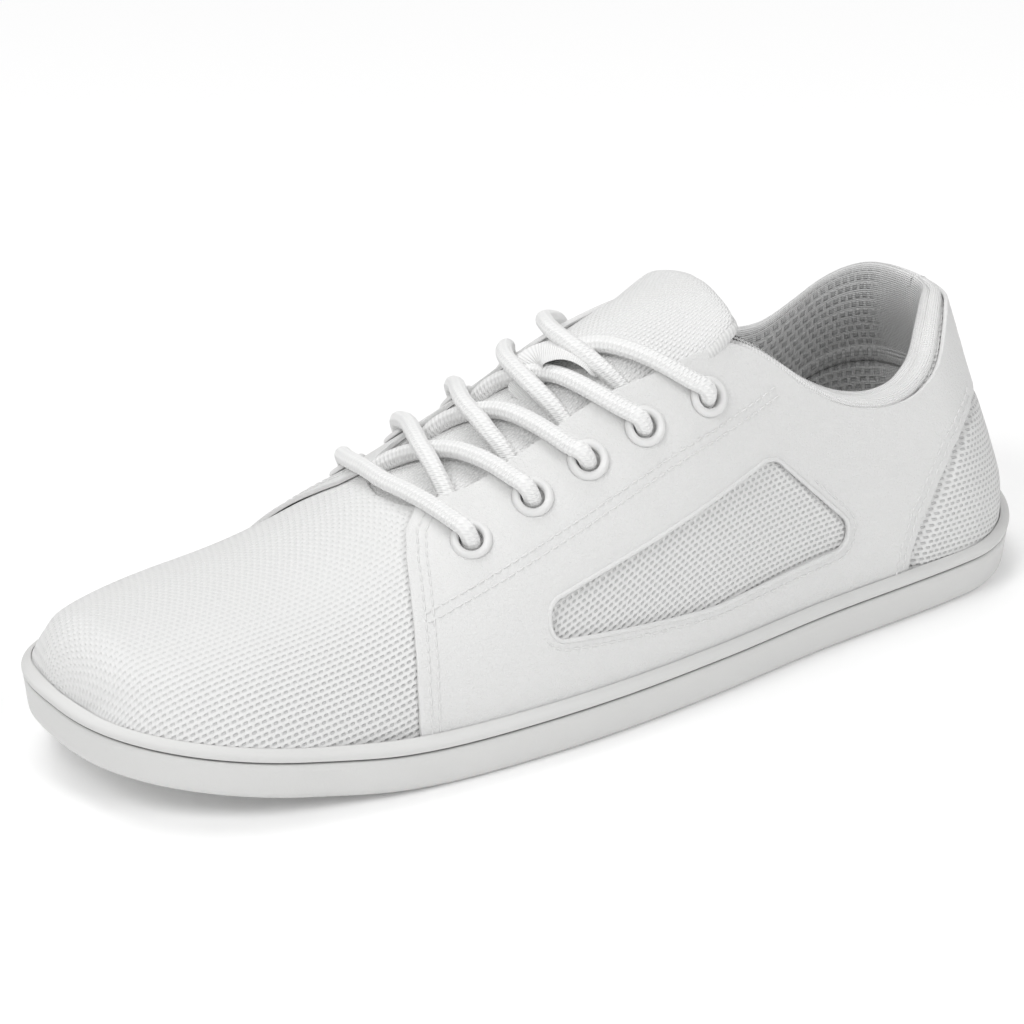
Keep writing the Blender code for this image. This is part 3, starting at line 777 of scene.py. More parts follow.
def cut_out(bm, places, side, outline):
    """Cuts an outline, given as s and f, out of a side's grid and pulls the edge to it."""
    flat = np.array([LAST_LENGTH, PANEL_TALL])
    live = [v for v in places if v.is_valid]
    inside = within(np.array([places[v] for v in live]), outline)
    inner = [v for v, hit in zip(live, inside) if hit]
    gone = set(inner)
    rim = list({near for v in inner for face in v.link_faces for near in face.verts} - gone)
    fine = closed_line(outline * flat, 0.0004)
    spots = np.array([places[v] for v in rim]) * flat
    pulled = np.array([fine[np.argmin(((fine - spot) ** 2).sum(-1))] for spot in spots]) / flat
    pulled[:, 1] = np.clip(pulled[:, 1], 0, 1)
    for v, place, spot in zip(rim, pulled, on_upper(pulled[:, 0], pulled[:, 1], side, LEATHER + GAP)):
        places[v] = tuple(place)
        v.co = spot
    bmesh.ops.delete(bm, geom=inner, context="VERTS")


window_line = rounded(WINDOW)
for side, name in SIDES:
    def panel_place(u, v):
        s = along(u * share(PANEL_END))
        return s, v * top_rise(np.minimum(s, THROAT_CORNER), side)

    bm = bmesh.new()
    verts = sheet(
        bm,
        PANEL_COLUMNS,
        PANEL_ROWS,
        lambda u, v: on_upper(*panel_place(u, v), side, LEATHER + GAP),
        lambda u, v: arc(*panel_place(u, v), side),
    )
    row, column = np.divmod(np.arange(len(verts)), PANEL_COLUMNS + 1)
    grid = np.stack(panel_place(column / PANEL_COLUMNS, row / PANEL_ROWS), -1)
    places = dict(zip(verts, grid.tolist()))
    front, rear = seams(side)
    window = np.stack(place_of(*closed_line(window_line, 0.0008).T, side), -1)
    for outline in (front, rear, window):
        cut_out(bm, places, side, outline)
    punch(bm, side)
    face_out(bm, INSIDE, MERGE, False)
    panel = finish_mesh(bm, "leather_" + name, leather_paint)
    wall(panel, LEATHER, 0.0004)
    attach(panel, "root")
    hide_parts("quarter_" + name)

# The sole: one moulding in white rubber. Its side is matte and finely grained, with a thin groove under a
# smooth round bead that hugs the upper, and its tread has bowed grooves. The groove's rows are painted nearly
# black as painted shade.
RIM_HEIGHT = 0.0143
RIM_FLARE = 0.0031
SIDE_FLARE = 0.0028
EDGE_FLARE = 0.0020
EDGE_ROUND = 0.0030
GROOVE_HEIGHT = 0.0115
GROOVE_WIDTH = 0.0008
GROOVE_DEPTH = 0.0011
CUP_FLARE = 0.00018
LUG_DEPTH = 0.0012
LUG_GROOVE = 0.0030
LUG_PITCH = 0.018
LUG_MARGIN = 0.009
TOE_LIFT = 0.0015
SOLE_COLUMNS = 260

sole_paint = Paint("white_rubber_grain", 0.62)
speck = sole_paint.noise(0.0006, 3.0, 0.6)
dust = sole_paint.noise(0.02, 3.0)


def ground(s, height):
    """How far the sole's side is lifted: a little more at the toe, less at the heel."""
    heel = 0.4 * min(height / GROOVE_HEIGHT, 1.0)
    return spring(s) * np.where(s > 0.5, 1.0, heel) + TOE_LIFT * soft_step(s, 0.70, 0.92)


def sole_point(s, side, offset, height):
    """A point of the sole: the feather line pushed outward, at a height over the tread."""
    foot = last_point(s, 0.0, side, offset)
    foot[..., 2] = height + ground(s, height)
    return foot


def contour(u, side, offset, height):
    """A ring of the upper's own surface at a height over the tread."""
    peak = 0.0
    for s in np.linspace(0.95, 1.0, 201):
        if last_point(s, 1.0, side)[2] - ground(s, height) > height:
            peak = s + 0.0003
    s = along(u * share(min(peak, 1.0)))
    f = rise_to(s, side, height + ground(s, height))
    return last_point(s, f, side, offset + cover(s) + settle(s, f))


BEAD = RIM_HEIGHT - GROOVE_HEIGHT - GROOVE_WIDTH / 2
BEAD_LOW = GROOVE_HEIGHT + GROOVE_WIDTH / 2
BEAD_STEPS = 14
BEAD_CREST = 5


def sole_profile():
    """The sole's side from its tread to the top of the groove: how far out and how high."""
    rows = [(EDGE_FLARE - EDGE_ROUND, 0.0)]
    for angle in (0.4, 0.8, 1.2, pi / 2):
        rows.append((EDGE_FLARE - EDGE_ROUND * (1 - sin(angle)), EDGE_ROUND * (1 - cos(angle))))
    side_top = GROOVE_HEIGHT - GROOVE_WIDTH / 2
    for k in (0.25, 0.5, 0.75, 0.97):
        rows.append((EDGE_FLARE + (SIDE_FLARE - EDGE_FLARE) * k, EDGE_ROUND + (side_top - EDGE_ROUND) * k))
    rows.append((SIDE_FLARE - 0.0003, side_top))
    rows.append((SIDE_FLARE - GROOVE_DEPTH, side_top + GROOVE_WIDTH * 0.3))
    rows.append((SIDE_FLARE - GROOVE_DEPTH, BEAD_LOW - GROOVE_WIDTH * 0.3))
    rows.append((SIDE_FLARE, BEAD_LOW))
    return rows


PROFILE = sole_profile()
SOLE_ROWS = len(PROFILE) + BEAD_STEPS
GROOVE_ROW = (len(PROFILE) - 2.5) / SOLE_ROWS

_, level = sole_paint.uv()
# Painted shade: the rows round the groove get a nearly black colour, so that the groove shows as a dark line.
groove_shade = 1.0 - (level - GROOVE_ROW).abs().step(0.8 / SOLE_ROWS, 1.6 / SOLE_ROWS)
smooth = level.step(GROOVE_ROW, GROOVE_ROW + 0.02)
clean = sole_paint.mix(dust, (0.655, 0.655, 0.647), (0.685, 0.685, 0.677))
sole_paint.colour(sole_paint.mix(groove_shade * 0.85, clean, (0.10, 0.10, 0.10)))
sole_paint.relief(speck * (1.0 - smooth * 0.85), 0.00018, 0.5)

bm = bmesh.new()
for side, _ in SIDES:
    def place_side(u, v):
        """Each row of the grid is one ring: first the profile, then the bead over to the upper."""
        spots = np.zeros((len(u), 3))
        rows = np.round(v * SOLE_ROWS).astype(int)
        s = along(u)
        for row in range(SOLE_ROWS + 1):
            pick = rows == row
            step = row - len(PROFILE) + 1
            turn = pi / 2 * (step - BEAD_CREST) / (BEAD_STEPS - BEAD_CREST)
            if row < len(PROFILE):
                offset, height = PROFILE[row]
            elif step <= BEAD_CREST:
                lower = pi / 2 * step / BEAD_CREST
                offset = SIDE_FLARE + (RIM_FLARE - SIDE_FLARE) * sin(lower)
                height = BEAD_LOW + BEAD * 0.40 * (1 - cos(lower))
            else:
                offset = RIM_FLARE
                height = BEAD_LOW + BEAD * (0.40 + 0.60 * sin(turn) ** 0.9)
            spots[pick] = sole_point(s[pick], side, offset + cover(s[pick]), height)
            if step > BEAD_CREST:
                inner = contour(u[pick], side, CUP_FLARE, RIM_HEIGHT)
                inner[:, 2] += height - RIM_HEIGHT
                spots[pick] = inner + (spots[pick] - inner) * max(cos(turn), 0.0)
        return spots

    sheet(bm, SOLE_COLUMNS, SOLE_ROWS, place_side, lambda u, v: (along(u) * LAST_LENGTH, v))


def groove_depth(x, y, s, across):
    """How deep the tread's grooves go at a place under the sole."""
    count = int((LAST_LENGTH - 2 * LUG_MARGIN) / LUG_PITCH)
    bow = LUG_GROOVE * np.sin(pi * across)
    offset = (x + bow) / LUG_PITCH
    near = np.abs(offset - np.round(offset)) * LUG_PITCH
    ends = soft_step(np.minimum(across, 1 - across), 0.07, 0.10) * (np.abs(np.round(offset)) < count / 2)
    return LUG_DEPTH * (1 - soft_step(near, LUG_GROOVE * 0.25, LUG_GROOVE * 0.55)) * ends


def span(v, left, right):
    """Places from a left to a right line, by v from 0 to 1."""
    return left * (1 - v[:, None]) + right * v[:, None]


def weave_flat(u, v):
    return along(u) * LAST_LENGTH, v * 0.1


def place_tread(u, v):
    s = along(u)
    edge = EDGE_FLARE - EDGE_ROUND + cover(s)
    spots = span(v, *(sole_point(s, side, edge, 0.0) for side in (LATERAL, MEDIAL)))
    spots[:, 2] += groove_depth(spots[:, 0], spots[:, 1], s, v)
    return spots


def place_cup(u, v):
    spots = span(v, *(contour(u, side, CUP_FLARE, RIM_HEIGHT) for side in (LATERAL, MEDIAL)))
    spots[:, 2] -= (RIM_HEIGHT - SOLE_FLOOR) * np.minimum(1, np.minimum(v, 1 - v) * 60)
    return spots


sheet(bm, SOLE_COLUMNS, 50, place_tread, weave_flat)
sheet(bm, SOLE_COLUMNS, 60, place_cup, weave_flat)
face_out(bm, Vector((0.0, 0.0, 0.003)))
sole = finish_mesh(bm, "rubber_sole", sole_paint)
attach(sole, "root")
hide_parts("sole")


# The tongue: knit cloth over foam, round at its top, with a rolled binding along its edge.
TONGUE_PAD = 0.005
TONGUE_FRONT = 0.715
TONGUE_TOP = 0.322
TONGUE_SPAN = 0.39
TONGUE_ROUND = 0.030
TONGUE_DROP = 0.004
TONGUE_FALL = 0.12
TONGUE_FREE = 0.44
TONGUE_SINK = 0.003
TONGUE_BOW = 0.0045

tongue_paint = Paint("white_tongue_knit", 0.9, sheen_weight=0.2)
run, rise = tongue_paint.uv()
_, lengthwise, across = tongue_paint.bricks(run, rise, 0.0017, 0.0014)
nub = (1.0 - lengthwise.step(0.1, 0.5)) * (1.0 - across.step(0.1, 0.5))
fuzz = tongue_paint.noise(0.0005)
tongue_paint.colour(tongue_paint.mix(nub, (0.82, 0.82, 0.815), (0.92, 0.92, 0.915)))
tongue_paint.relief(nub + fuzz * 0.3, 0.0005, 0.7)


def tongue_half(s):
    """How far round the section the tongue reaches."""
    return TONGUE_SPAN * cap(s - TONGUE_TOP, TONGUE_ROUND, 3.0)


def on_tongue_core(s, k, height):
    """A point of the tongue: k from -1 to 1 across it, height over its middle layer."""
    f = 1 - tongue_half(s) * np.abs(k)
    low = TONGUE_DROP * (1 - (1 - f) / TONGUE_SPAN) * np.clip(1 - (s - TONGUE_TOP) / TONGUE_FALL, 0, 1) ** 2
    offset = -KNIT_WALL - GAP - TONGUE_PAD / 2 - low + height
    near, far = last_point(s, f, LATERAL, offset), last_point(s, f, MEDIAL, offset)
    spots = np.where((k < 0)[..., None], near, far)
    ridge = last_point(s, 1.0, LATERAL, -KNIT_WALL - GAP - TONGUE_PAD / 2 + height)
    free = soft_step(TONGUE_FREE - s, 0, TONGUE_FREE - TONGUE_TOP)
    flat = ridge[:, 2] - TONGUE_SINK - TONGUE_BOW * k * k
    spots[:, 2] += (flat - spots[:, 2]) * free * tongue_half(s) / TONGUE_SPAN
    return spots


def tongue_place(u, v, face):
    """One face of the pad: 1 is its upper side, -1 its lower one, and they meet at its edge."""
    s = TONGUE_FRONT + (TONGUE_TOP - TONGUE_FRONT) * np.sin(pi / 2 * u)
    k = -np.cos(pi * v)
    pad = TONGUE_PAD / 2 * cap(1 - np.abs(k), 0.22, 2.2) * cap(s - TONGUE_TOP, 0.018, 2.2)
    return on_tongue_core(s, k, face * pad)


bm = bmesh.new()
for face in (1, -1):
    sheet(
        bm,
        110,
        80,
        lambda u, v: tongue_place(u, v, face),
        lambda u, v: (np.sin(pi / 2 * u) * 0.115, -np.cos(pi * v) * 0.038),
    )
face_out(bm, Vector((0.0, 0.0, 0.055)))
tongue = finish_mesh(bm, "tongue_pad", tongue_paint)
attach(tongue, "root")
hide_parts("tongue")

# The tongue's binding: a narrow strip of ribbed cloth, folded round the pad's edge and sewn
# down, so that it stands as a small roll round the free end.
BINDING = 0.0017
BINDING_END = 0.47


def smooth_line(points, step):
    """A soft line near its corner points, with even steps."""
    points = np.asarray(points, float)
    for _ in range(4):
        quarter = points[:-1] * 0.75 + points[1:] * 0.25
        rest = points[:-1] * 0.25 + points[1:] * 0.75
        inner = np.stack([quarter, rest], 1).reshape(-1, points.shape[1])
        points = np.concatenate([points[:1], inner, points[-1:]])
    way = way_along(points)
    return between_points(np.linspace(0, way[-1], max(6, round(way[-1] / step) + 1)), way, points)


def unit(v):
    return v / np.maximum(np.linalg.norm(v, axis=-1, keepdims=True), 1e-12)


def cord(bm, line, radius, sides=14, ups=None, flat=1.0, closed=False, bumps=None):
    """A round or flat cord along a line. ups are the directions out of what it lies on."""
    if closed:
        line = np.vstack([line, line[:1]])
        ups = np.vstack([ups, ups[:1]])
    tangent = unit(np.gradient(line, axis=0))
    if closed:
        tangent[0] = tangent[-1] = unit(tangent[0] + tangent[-1])
    if ups is None:
        ups = [np.cross(tangent[0], [0.3, 0.2, 0.9])]
        for t in tangent[1:]:
            ups.append(ups[-1] - t * np.dot(ups[-1], t))
        ups = np.array(ups)
    normal = unit(ups - tangent * (ups * tangent).sum(-1, keepdims=True))
    sideways = np.cross(tangent, normal)
    way = way_along(line)
    count = len(line) - 1

    def place(u, v):
        i = np.round(u * count).astype(int)
        angle = 2 * pi * np.round(v * sides) / sides
        size = np.full(len(u), radius)
        if not closed:
            size = size * cap(np.minimum(way[i], way[-1] - way[i]), radius, 2.0)
        if bumps:
            size = size * (1 + bumps(way[i], angle))
        out = np.cos(angle)[:, None] * normal[i] * flat + np.sin(angle)[:, None] * sideways[i]
        return line[i] + out * size[:, None]

    return sheet(bm, count, sides, place, lambda u, v: (u * way[-1], v))


def finish_cord(bm):
    """Closes a cord's seam and ends, and turns its faces out."""
    bmesh.ops.remove_doubles(bm, verts=bm.verts, dist=2e-6)
    bmesh.ops.dissolve_degenerate(bm, edges=bm.edges, dist=1e-7)
    bmesh.ops.recalc_face_normals(bm, faces=bm.faces)


binding_paint = Paint("white_binding_rib", 0.9, sheen_weight=0.2)
run, around = binding_paint.uv()
rib = ((run / 0.0011 + around * 3.0) * 2 * pi).sin() * 0.5 + 0.5
binding_paint.colour(binding_paint.mix(rib, (0.64, 0.64, 0.635), (0.76, 0.76, 0.755)))
binding_paint.relief(rib + binding_paint.noise(0.0005) * 0.4, 0.0002, 0.6)

s_edge = TONGUE_TOP + (BINDING_END - TONGUE_TOP) * np.sin(np.linspace(pi / 2, 0.0, 60)) ** 2
edge_line = np.vstack([
    on_tongue_core(s_edge, np.full(60, -1.0), 0.0),
    on_tongue_core(s_edge[::-1], np.full(60, 1.0), 0.0)[1:],
])
edge_line = smooth_line(edge_line, 0.0012)
bm = bmesh.new()
cord(bm, edge_line, BINDING, 12)
finish_cord(bm)
binding = finish_mesh(bm, "tongue_binding", binding_paint)
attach(binding, "root")

# The collar: ladder-woven lining over foam, rolled out over the upper's edge and full round the heel. Its
# front ends go under the tongue. The ladder's holes are not cut: they are painted grey as painted shade.
COLLAR_PAD = 0.0060
COLLAR_PAD_DEPTH = 0.026
COLLAR_PAD_FRONT = 0.365
COLLAR_COLUMNS = 240
COLLAR_STEP = 0.004
LADDER_RUN = 0.0034
LADDER_RISE = 0.0030
TWILL = 0.0013
COLLAR_ROUND = 0.235
Roll = namedtuple("Roll", "deep into")
COLLAR_ROLL = (
    Roll(0.50, 0.00),
    Roll(0.16, 0.00),
    Roll(0.02, -0.10),
    Roll(-0.06, -0.46),
    Roll(-0.18, -0.10),
    Roll(-0.18, 0.45),
    Roll(-0.05, 0.84),
    Roll(0.25, 1.00),
    Roll(0.55, 0.80),
    Roll(0.85, 0.45),
    Roll(1.10, 0.12),
    Roll(1.20, 0.01),
    Roll(0.90, 0.00),
)

lining_paint = Paint("white_ladder_lining", 0.9, sheen_weight=0.2)
run, rise = lining_paint.uv()
_, lengthwise, across = lining_paint.bricks(run, rise, LADDER_RUN, LADDER_RISE)
twill = (1.0 - rise.step(0.018, 0.024)) * (1.0 - (0.0 - rise).step(0.0005, 0.001))
at_heel = 1.0 - run.abs().step(0.012, 0.022)
bar = lengthwise.step(0.20, 0.34).larger(across.step(0.20, 0.36)).larger(twill).larger(at_heel)
thread = ((run + rise) * 2 * pi / TWILL).sin() * ((run - rise) * 2 * pi / TWILL).sin() * 0.5 + 0.5
light = lining_paint.mix(thread, (0.84, 0.84, 0.835), (0.96, 0.96, 0.955))
# Painted shade: the ladder's holes are coloured grey for the shade inside them. The bars, the band at the top
# and the heel keep the pale thread colour.
lining_paint.colour(lining_paint.mix(bar, (0.66, 0.66, 0.66), light))
lining_paint.relief(bar + thread * 0.5 + lining_paint.noise(0.0005) * 0.2, 0.0007, 0.9)

roll_line = np.array([(roll.deep, roll.into) for roll in COLLAR_ROLL])
for _ in range(3):
    ahead = np.roll(roll_line, -1, axis=0)
    pairs = [roll_line * 0.75 + ahead * 0.25, roll_line * 0.25 + ahead * 0.75]
    roll_line = np.stack(pairs, 1).reshape(-1, 2)
roll_line = np.vstack([roll_line, roll_line[:1]])
roll_way = way_along(roll_line * [COLLAR_PAD_DEPTH, COLLAR_PAD])
ROLL_LENGTH = roll_way[-1]


def collar_place(u, v):
    """u from the outer side's front round the heel to the inner side's front, v round the roll."""
    way = 1 - 2 * np.clip(u, 0, 1)
    s = COLLAR_PAD_FRONT * np.abs(way) ** 1.4
    deep, into = between_points(v * ROLL_LENGTH, roll_way, roll_line).T
    thin = 0.60 + 0.40 * cap(COLLAR_PAD_FRONT - s, 0.12, 2.0)
    thin = thin * cap(COLLAR_PAD_FRONT - s, 0.012, 2.0)
    spots = np.zeros((len(u), 3))
    for side in (LATERAL, MEDIAL):
        pick = (way > 0) if side == LATERAL else (way <= 0)
        here = s[pick]
        near = (here, here + COLLAR_STEP, np.maximum(here - COLLAR_STEP, 0))
        top, ahead, behind = (last_point(at, collar_rise(at, side), side)[:, 2] for at in near)
        fall = (behind - ahead) / (2 * COLLAR_STEP * LAST_LENGTH)
        drop = (0.15 + (deep[pick] - 0.15) * np.maximum(thin[pick], 0.25)) * COLLAR_PAD_DEPTH
        over = np.maximum(-drop, 0) / np.sqrt(1 + fall * fall)
        here = here + over * fall / LAST_LENGTH
        z = top - np.maximum(drop, 0) + over
        f = rise_to(here, side, z)
        spots[pick] = last_point(here, f, side, -KNIT_WALL - GAP - into[pick] * COLLAR_PAD * thin[pick])
        spots[pick, 2] += np.maximum(z - spots[pick, 2], 0) * (into[pick] > 0.3)
    return spots


bm = bmesh.new()
sheet(bm, COLLAR_COLUMNS, 56, collar_place, lambda u, v: ((u - 0.5) * COLLAR_ROUND, v * ROLL_LENGTH))
finish_cord(bm)
collar = finish_mesh(bm, "collar_pad_lining", lining_paint)
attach(collar, "root")
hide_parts("collar_pad")

# The heel lining: the same ladder-woven cloth, glued to the inside of the knit from the
# collar's pad down to the insole.
LINING_FRONT = 0.42

bm = bmesh.new()
for side, _ in SIDES:
    def place_lining(u, v):
        s = LINING_FRONT * u ** 1.4
        low, high = 0.06, collar_rise(s, side) - 0.12
        return last_point(s, low + (high - low) * v, side, -KNIT_WALL - GAP)

    sheet(bm, 120, 24, place_lining, lambda u, v: (side * u * 0.13, 0.03 + v * 0.055))
face_out(bm, INSIDE)
bmesh.ops.reverse_faces(bm, faces=bm.faces)
lining = finish_mesh(bm, "heel_lining", lining_paint)
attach(lining, "root")

# The eyelets: white painted rings with a rounded flange, set through leather and knit.
EYELET_WIDTH = 0.0108
EYELET_BORE = 0.0062
EYELET_FLANGE = 0.0013
EYELET_BARREL = 0.0016
ring_paint = Paint("white_ring_satin", 0.38, base_color=(0.76, 0.76, 0.755, 1.0))
ring_paint.relief(ring_paint.noise(0.002), 0.00005, 0.3)
hole_paint = Paint("eyelet_shadow", 0.9, base_color=(0.03, 0.03, 0.03, 1.0))

for side, name in SIDES:
    for number, eyelet in enumerate(EYELETS, start=1):
        bm = bmesh.new()
        seat = LEATHER + GAP
        middle = (EYELET_WIDTH + EYELET_BORE) / 4
        half = (EYELET_WIDTH - EYELET_BORE) / 4
        profile = [(middle + half * cos(a), seat + EYELET_FLANGE * sin(a)) for a in np.linspace(0.0, pi, 10)]
        inner = EYELET_BORE / 2
        profile += [(inner, -EYELET_BARREL), (inner + 0.0005, -EYELET_BARREL), (inner + 0.0005, seat)]
        verts = [bm.verts.new((x, 0.0, z)) for x, z in profile]
        edges = [bm.edges.new((a, b)) for a, b in zip(verts, verts[1:] + verts[:1])]
        bmesh.ops.spin(
            bm, geom=verts + edges, cent=(0, 0, 0), axis=(0, 0, 1), angle=2 * pi, steps=40, use_merge=True
        )
        bmesh.ops.remove_doubles(bm, verts=bm.verts, dist=1e-6)
        bmesh.ops.recalc_face_normals(bm, faces=bm.faces)
        known = set(bm.faces)
        under = Matrix.Translation((0, 0, -0.0012))
        bmesh.ops.create_circle(bm, cap_ends=True, segments=24, radius=inner + 0.0004, matrix=under)
        for face in set(bm.faces) - known:
            face.material_index = 1
        at = eyelet_at(eyelet, side)
        seated = facing(on_upper(at, eyelet.up, side, 0.0), outward(at, eyelet.up, side))
        bmesh.ops.transform(bm, matrix=seated, verts=bm.verts)
        ring = finish_mesh(bm, "ring_%s_%d" % (name, number), ring_paint)
        ring.data.materials.append(hole_paint.material)
        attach(ring, "root")
        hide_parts("eyelet_%s_%d" % (name, number))

# The laces: a round braided cord. A bar lies across the throat's front and pairs of strands
# cross behind it, each down through its eyelet and under the opposite edge.
LACE_WIDTH = 0.0047
BRAID = 0.0024
lace_paint = Paint("white_braid", 0.85, sheen_weight=0.25)
run, around = lace_paint.uv()
turns = around * 4.0
plait = ((run / BRAID + turns) * 2 * pi).sin() * ((run / BRAID - turns) * 2 * pi).sin() * 0.5 + 0.5
strandy = ((run / 0.0006 + around * 10.0) * 2 * pi).sin() * 0.5 + 0.5
lace_paint.colour(lace_paint.mix(plait, (0.86, 0.86, 0.855), (0.93, 0.93, 0.925)))
lace_paint.relief(plait + strandy * 0.3, 0.0004, 0.8)

ON_RING = LEATHER + GAP + LACE_WIDTH / 2 + EYELET_FLANGE * 0.8

# Each strand: s, f and height over the last of its places, first on its own side of the ridge
# and then past it on the other side.
STRANDS = {
    "near_1": (
        (
            (0.637, 0.676, 0.0044), (0.646, 0.790, 0.0034), (0.654, 0.905, 0.0027),
            (0.659, 1.0, 0.0026),
        ),
        (),
    ),
    "far_1": (
        ((0.648, 0.700, 0.0043), (0.655, 0.800, 0.0038), (0.657, 0.900, 0.0030)),
        (),
    ),
    "near_2": (
        (
            (0.576, 0.688, 0.0044), (0.585, 0.780, 0.0038), (0.597, 0.905, 0.0020),
            (0.608, 1.0, 0.0006),
        ),
        (
            (0.620, 0.92, 0.0004), (0.636, 0.85, 0.0002), (0.646, 0.79, -0.0018),
            (0.652, 0.74, -0.0030),
        ),
    ),
    "far_2": (
        (
            (0.590, 0.700, 0.0043), (0.598, 0.800, 0.0041), (0.610, 0.920, 0.0046),
            (0.617, 1.0, 0.0047),
        ),
        (
            (0.621, 0.93, 0.0036), (0.624, 0.88, 0.0022), (0.627, 0.82, 0.0004),
            (0.630, 0.77, -0.0018), (0.633, 0.72, -0.0030),
        ),
    ),
    "near_3": (
        (
            (0.522, 0.668, 0.0044), (0.531, 0.746, 0.0038), (0.542, 0.860, 0.0024),
            (0.550, 0.950, 0.0012),
        ),
        (
            (0.560, 0.97, 0.0005), (0.570, 0.90, 0.0003), (0.582, 0.85, 0.0000),
            (0.592, 0.80, -0.0018), (0.600, 0.74, -0.0030),
        ),
    ),
    "far_3": (
        (
            (0.536, 0.700, 0.0043), (0.548, 0.800, 0.0041), (0.560, 0.900, 0.0046),
            (0.567, 0.98, 0.0047),
        ),
        (
            (0.569, 0.93, 0.0038), (0.570, 0.88, 0.0023), (0.569, 0.82, 0.0005),
            (0.568, 0.77, -0.0018), (0.566, 0.72, -0.0030),
        ),
    ),
    "near_4": (
        (
            (0.467, 0.656, 0.0044), (0.481, 0.738, 0.0038), (0.493, 0.846, 0.0024),
            (0.501, 0.926, 0.0012),
        ),
        (
            (0.511, 0.97, 0.0005), (0.522, 0.90, 0.0003), (0.533, 0.85, 0.0000),
            (0.543, 0.80, -0.0018), (0.550, 0.74, -0.0030),
        ),
    ),
    "far_4": (
        (
            (0.483, 0.700, 0.0043), (0.500, 0.800, 0.0041), (0.512, 0.900, 0.0046),
            (0.517, 0.97, 0.0047),
        ),
        (
            (0.519, 0.93, 0.0038), (0.518, 0.875, 0.0023), (0.516, 0.82, 0.0005),
            (0.514, 0.77, -0.0018), (0.511, 0.71, -0.0030),
        ),
    ),
    "near_5": (
        (
            (0.403, 0.628, 0.0044), (0.420, 0.698, 0.0038), (0.437, 0.782, 0.0026),
            (0.453, 0.872, 0.0012), (0.468, 0.935, 0.0004), (0.482, 0.990, 0.0002),
        ),
        (
            (0.493, 0.93, 0.0002), (0.500, 0.87, 0.0000), (0.505, 0.80, -0.0018),
            (0.508, 0.74, -0.0030),
        ),
    ),
    "far_5": (
        (
            (0.436, 0.680, 0.0043), (0.458, 0.790, 0.0041), (0.470, 0.890, 0.0046),
            (0.476, 0.970, 0.0047),
        ),
        (
            (0.475, 0.93, 0.0038), (0.472, 0.88, 0.0023), (0.467, 0.81, 0.0005),
            (0.460, 0.75, -0.0018), (0.455, 0.70, -0.0030),
        ),
    ),
}


def lift(side, s, f, far):
    """A point over the last, straight out of it."""
    return last_point(s, f, side) + outward(s, f, side) * far


def strand(name, eyelet, side):
    """A lace's way from inside its eyelet over the ring and on along its strand."""
    own, beyond = STRANDS[name]
    at, up = eyelet_at(eyelet, side), eyelet.up
    s, f, _ = own[0]
    way = [lift(side, at, up - 0.006, -0.0024), lift(side, at, up - 0.003, 0.0010)]
    way += [lift(side, at + (s - at) * 0.35, up + (f - up) * 0.45, ON_RING + 0.0003)]
    return way + [lift(side, *spot) for spot in own] + [lift(-side, *spot) for spot in beyond]


def braided(way, angle):
    """The plait's own relief, as a share of the radius."""
    turn = 2 * pi * way / BRAID
    return 0.015 * np.sin(turn + 4 * angle) * np.sin(turn - 4 * angle)


def lace(name, route, node):
    """One lace piece: a cord along each way of its route."""
    bm = bmesh.new()
    for way in route:
        cord(bm, smooth_line(way, 0.0006), LACE_WIDTH / 2, 16, bumps=braided)
    finish_cord(bm)
    made = finish_mesh(bm, name, lace_paint)
    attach(made, "root")
    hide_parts(node)


front = strand("near_1", EYELETS[0], LATERAL) + strand("far_1", EYELETS[0], MEDIAL)[::-1]
lace("lace_front_bar", [front], "lace_bar")
for number, eyelet in enumerate(EYELETS[1:], start=2):
    near = strand("near_%d" % number, eyelet, LATERAL)
    far = strand("far_%d" % number, eyelet, MEDIAL)
    lace("lace_pair_%d" % number, [near, far], "lace_cross_%d" % number)

# The keeper: a loop of woven ribbon that stands on the tongue, sewn down at its front end.
ribbon_paint = Paint("white_ribbon", 0.8)
run, around = ribbon_paint.uv()
weft = (run / 0.0006 * 2 * pi).sin() * 0.5 + 0.5
ribbon_paint.colour(ribbon_paint.mix(weft, (0.80, 0.80, 0.795), (0.88, 0.88, 0.875)))
ribbon_paint.relief(weft, 0.0002, 0.6)
KEEPER_WIDTH = 0.0098
KEEPER_THICK = 0.0011
Spot = namedtuple("Spot", "s f high")
KEEPER = (
    Spot(0.533, 1.0, -0.0016),
    Spot(0.519, 1.0, -0.0012),
    Spot(0.509, 1.0, 0.0012),
    Spot(0.499, 1.0, 0.0036),
    Spot(0.488, 0.970, 0.0038),
    Spot(0.478, 0.930, 0.0032),
    Spot(0.471, 0.880, 0.0010),
    Spot(0.467, 0.830, -0.0012),
    Spot(0.466, 0.790, -0.0020),
)
keeper_line = smooth_line([lift(LATERAL, *spot) for spot in KEEPER], 0.0008)
keeper_up = np.tile([0.0, -0.25, 1.0], (len(keeper_line), 1))
bm = bmesh.new()
cord(bm, keeper_line, KEEPER_WIDTH / 2, 24, ups=keeper_up, flat=KEEPER_THICK / KEEPER_WIDTH)
finish_cord(bm)
keeper = finish_mesh(bm, "lace_keeper_ribbon", ribbon_paint)
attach(keeper, "root")

# The stitches: white thread laid in short raised lengths, in two rows beside the leather's
# seams and in one under each window. They hold the panel to the knit.
thread_paint = Paint("white_thread", 0.7, base_color=(0.74, 0.74, 0.735, 1.0))
thread_paint.relief(thread_paint.noise(0.0003), 0.0001, 0.5)
STITCH = 0.0023
STITCH_GAP = 0.0004
THREAD = 0.00031

bm = bmesh.new()
turned = Matrix.Rotation(pi / 2, 4, "Y")
bmesh.ops.create_uvsphere(bm, u_segments=8, v_segments=6, radius=1.0, matrix=turned)
one_stitch = np.array([vert.co for vert in bm.verts])
stitch_faces = [[vert.index for vert in face.verts] for face in bm.faces]
bm.free()


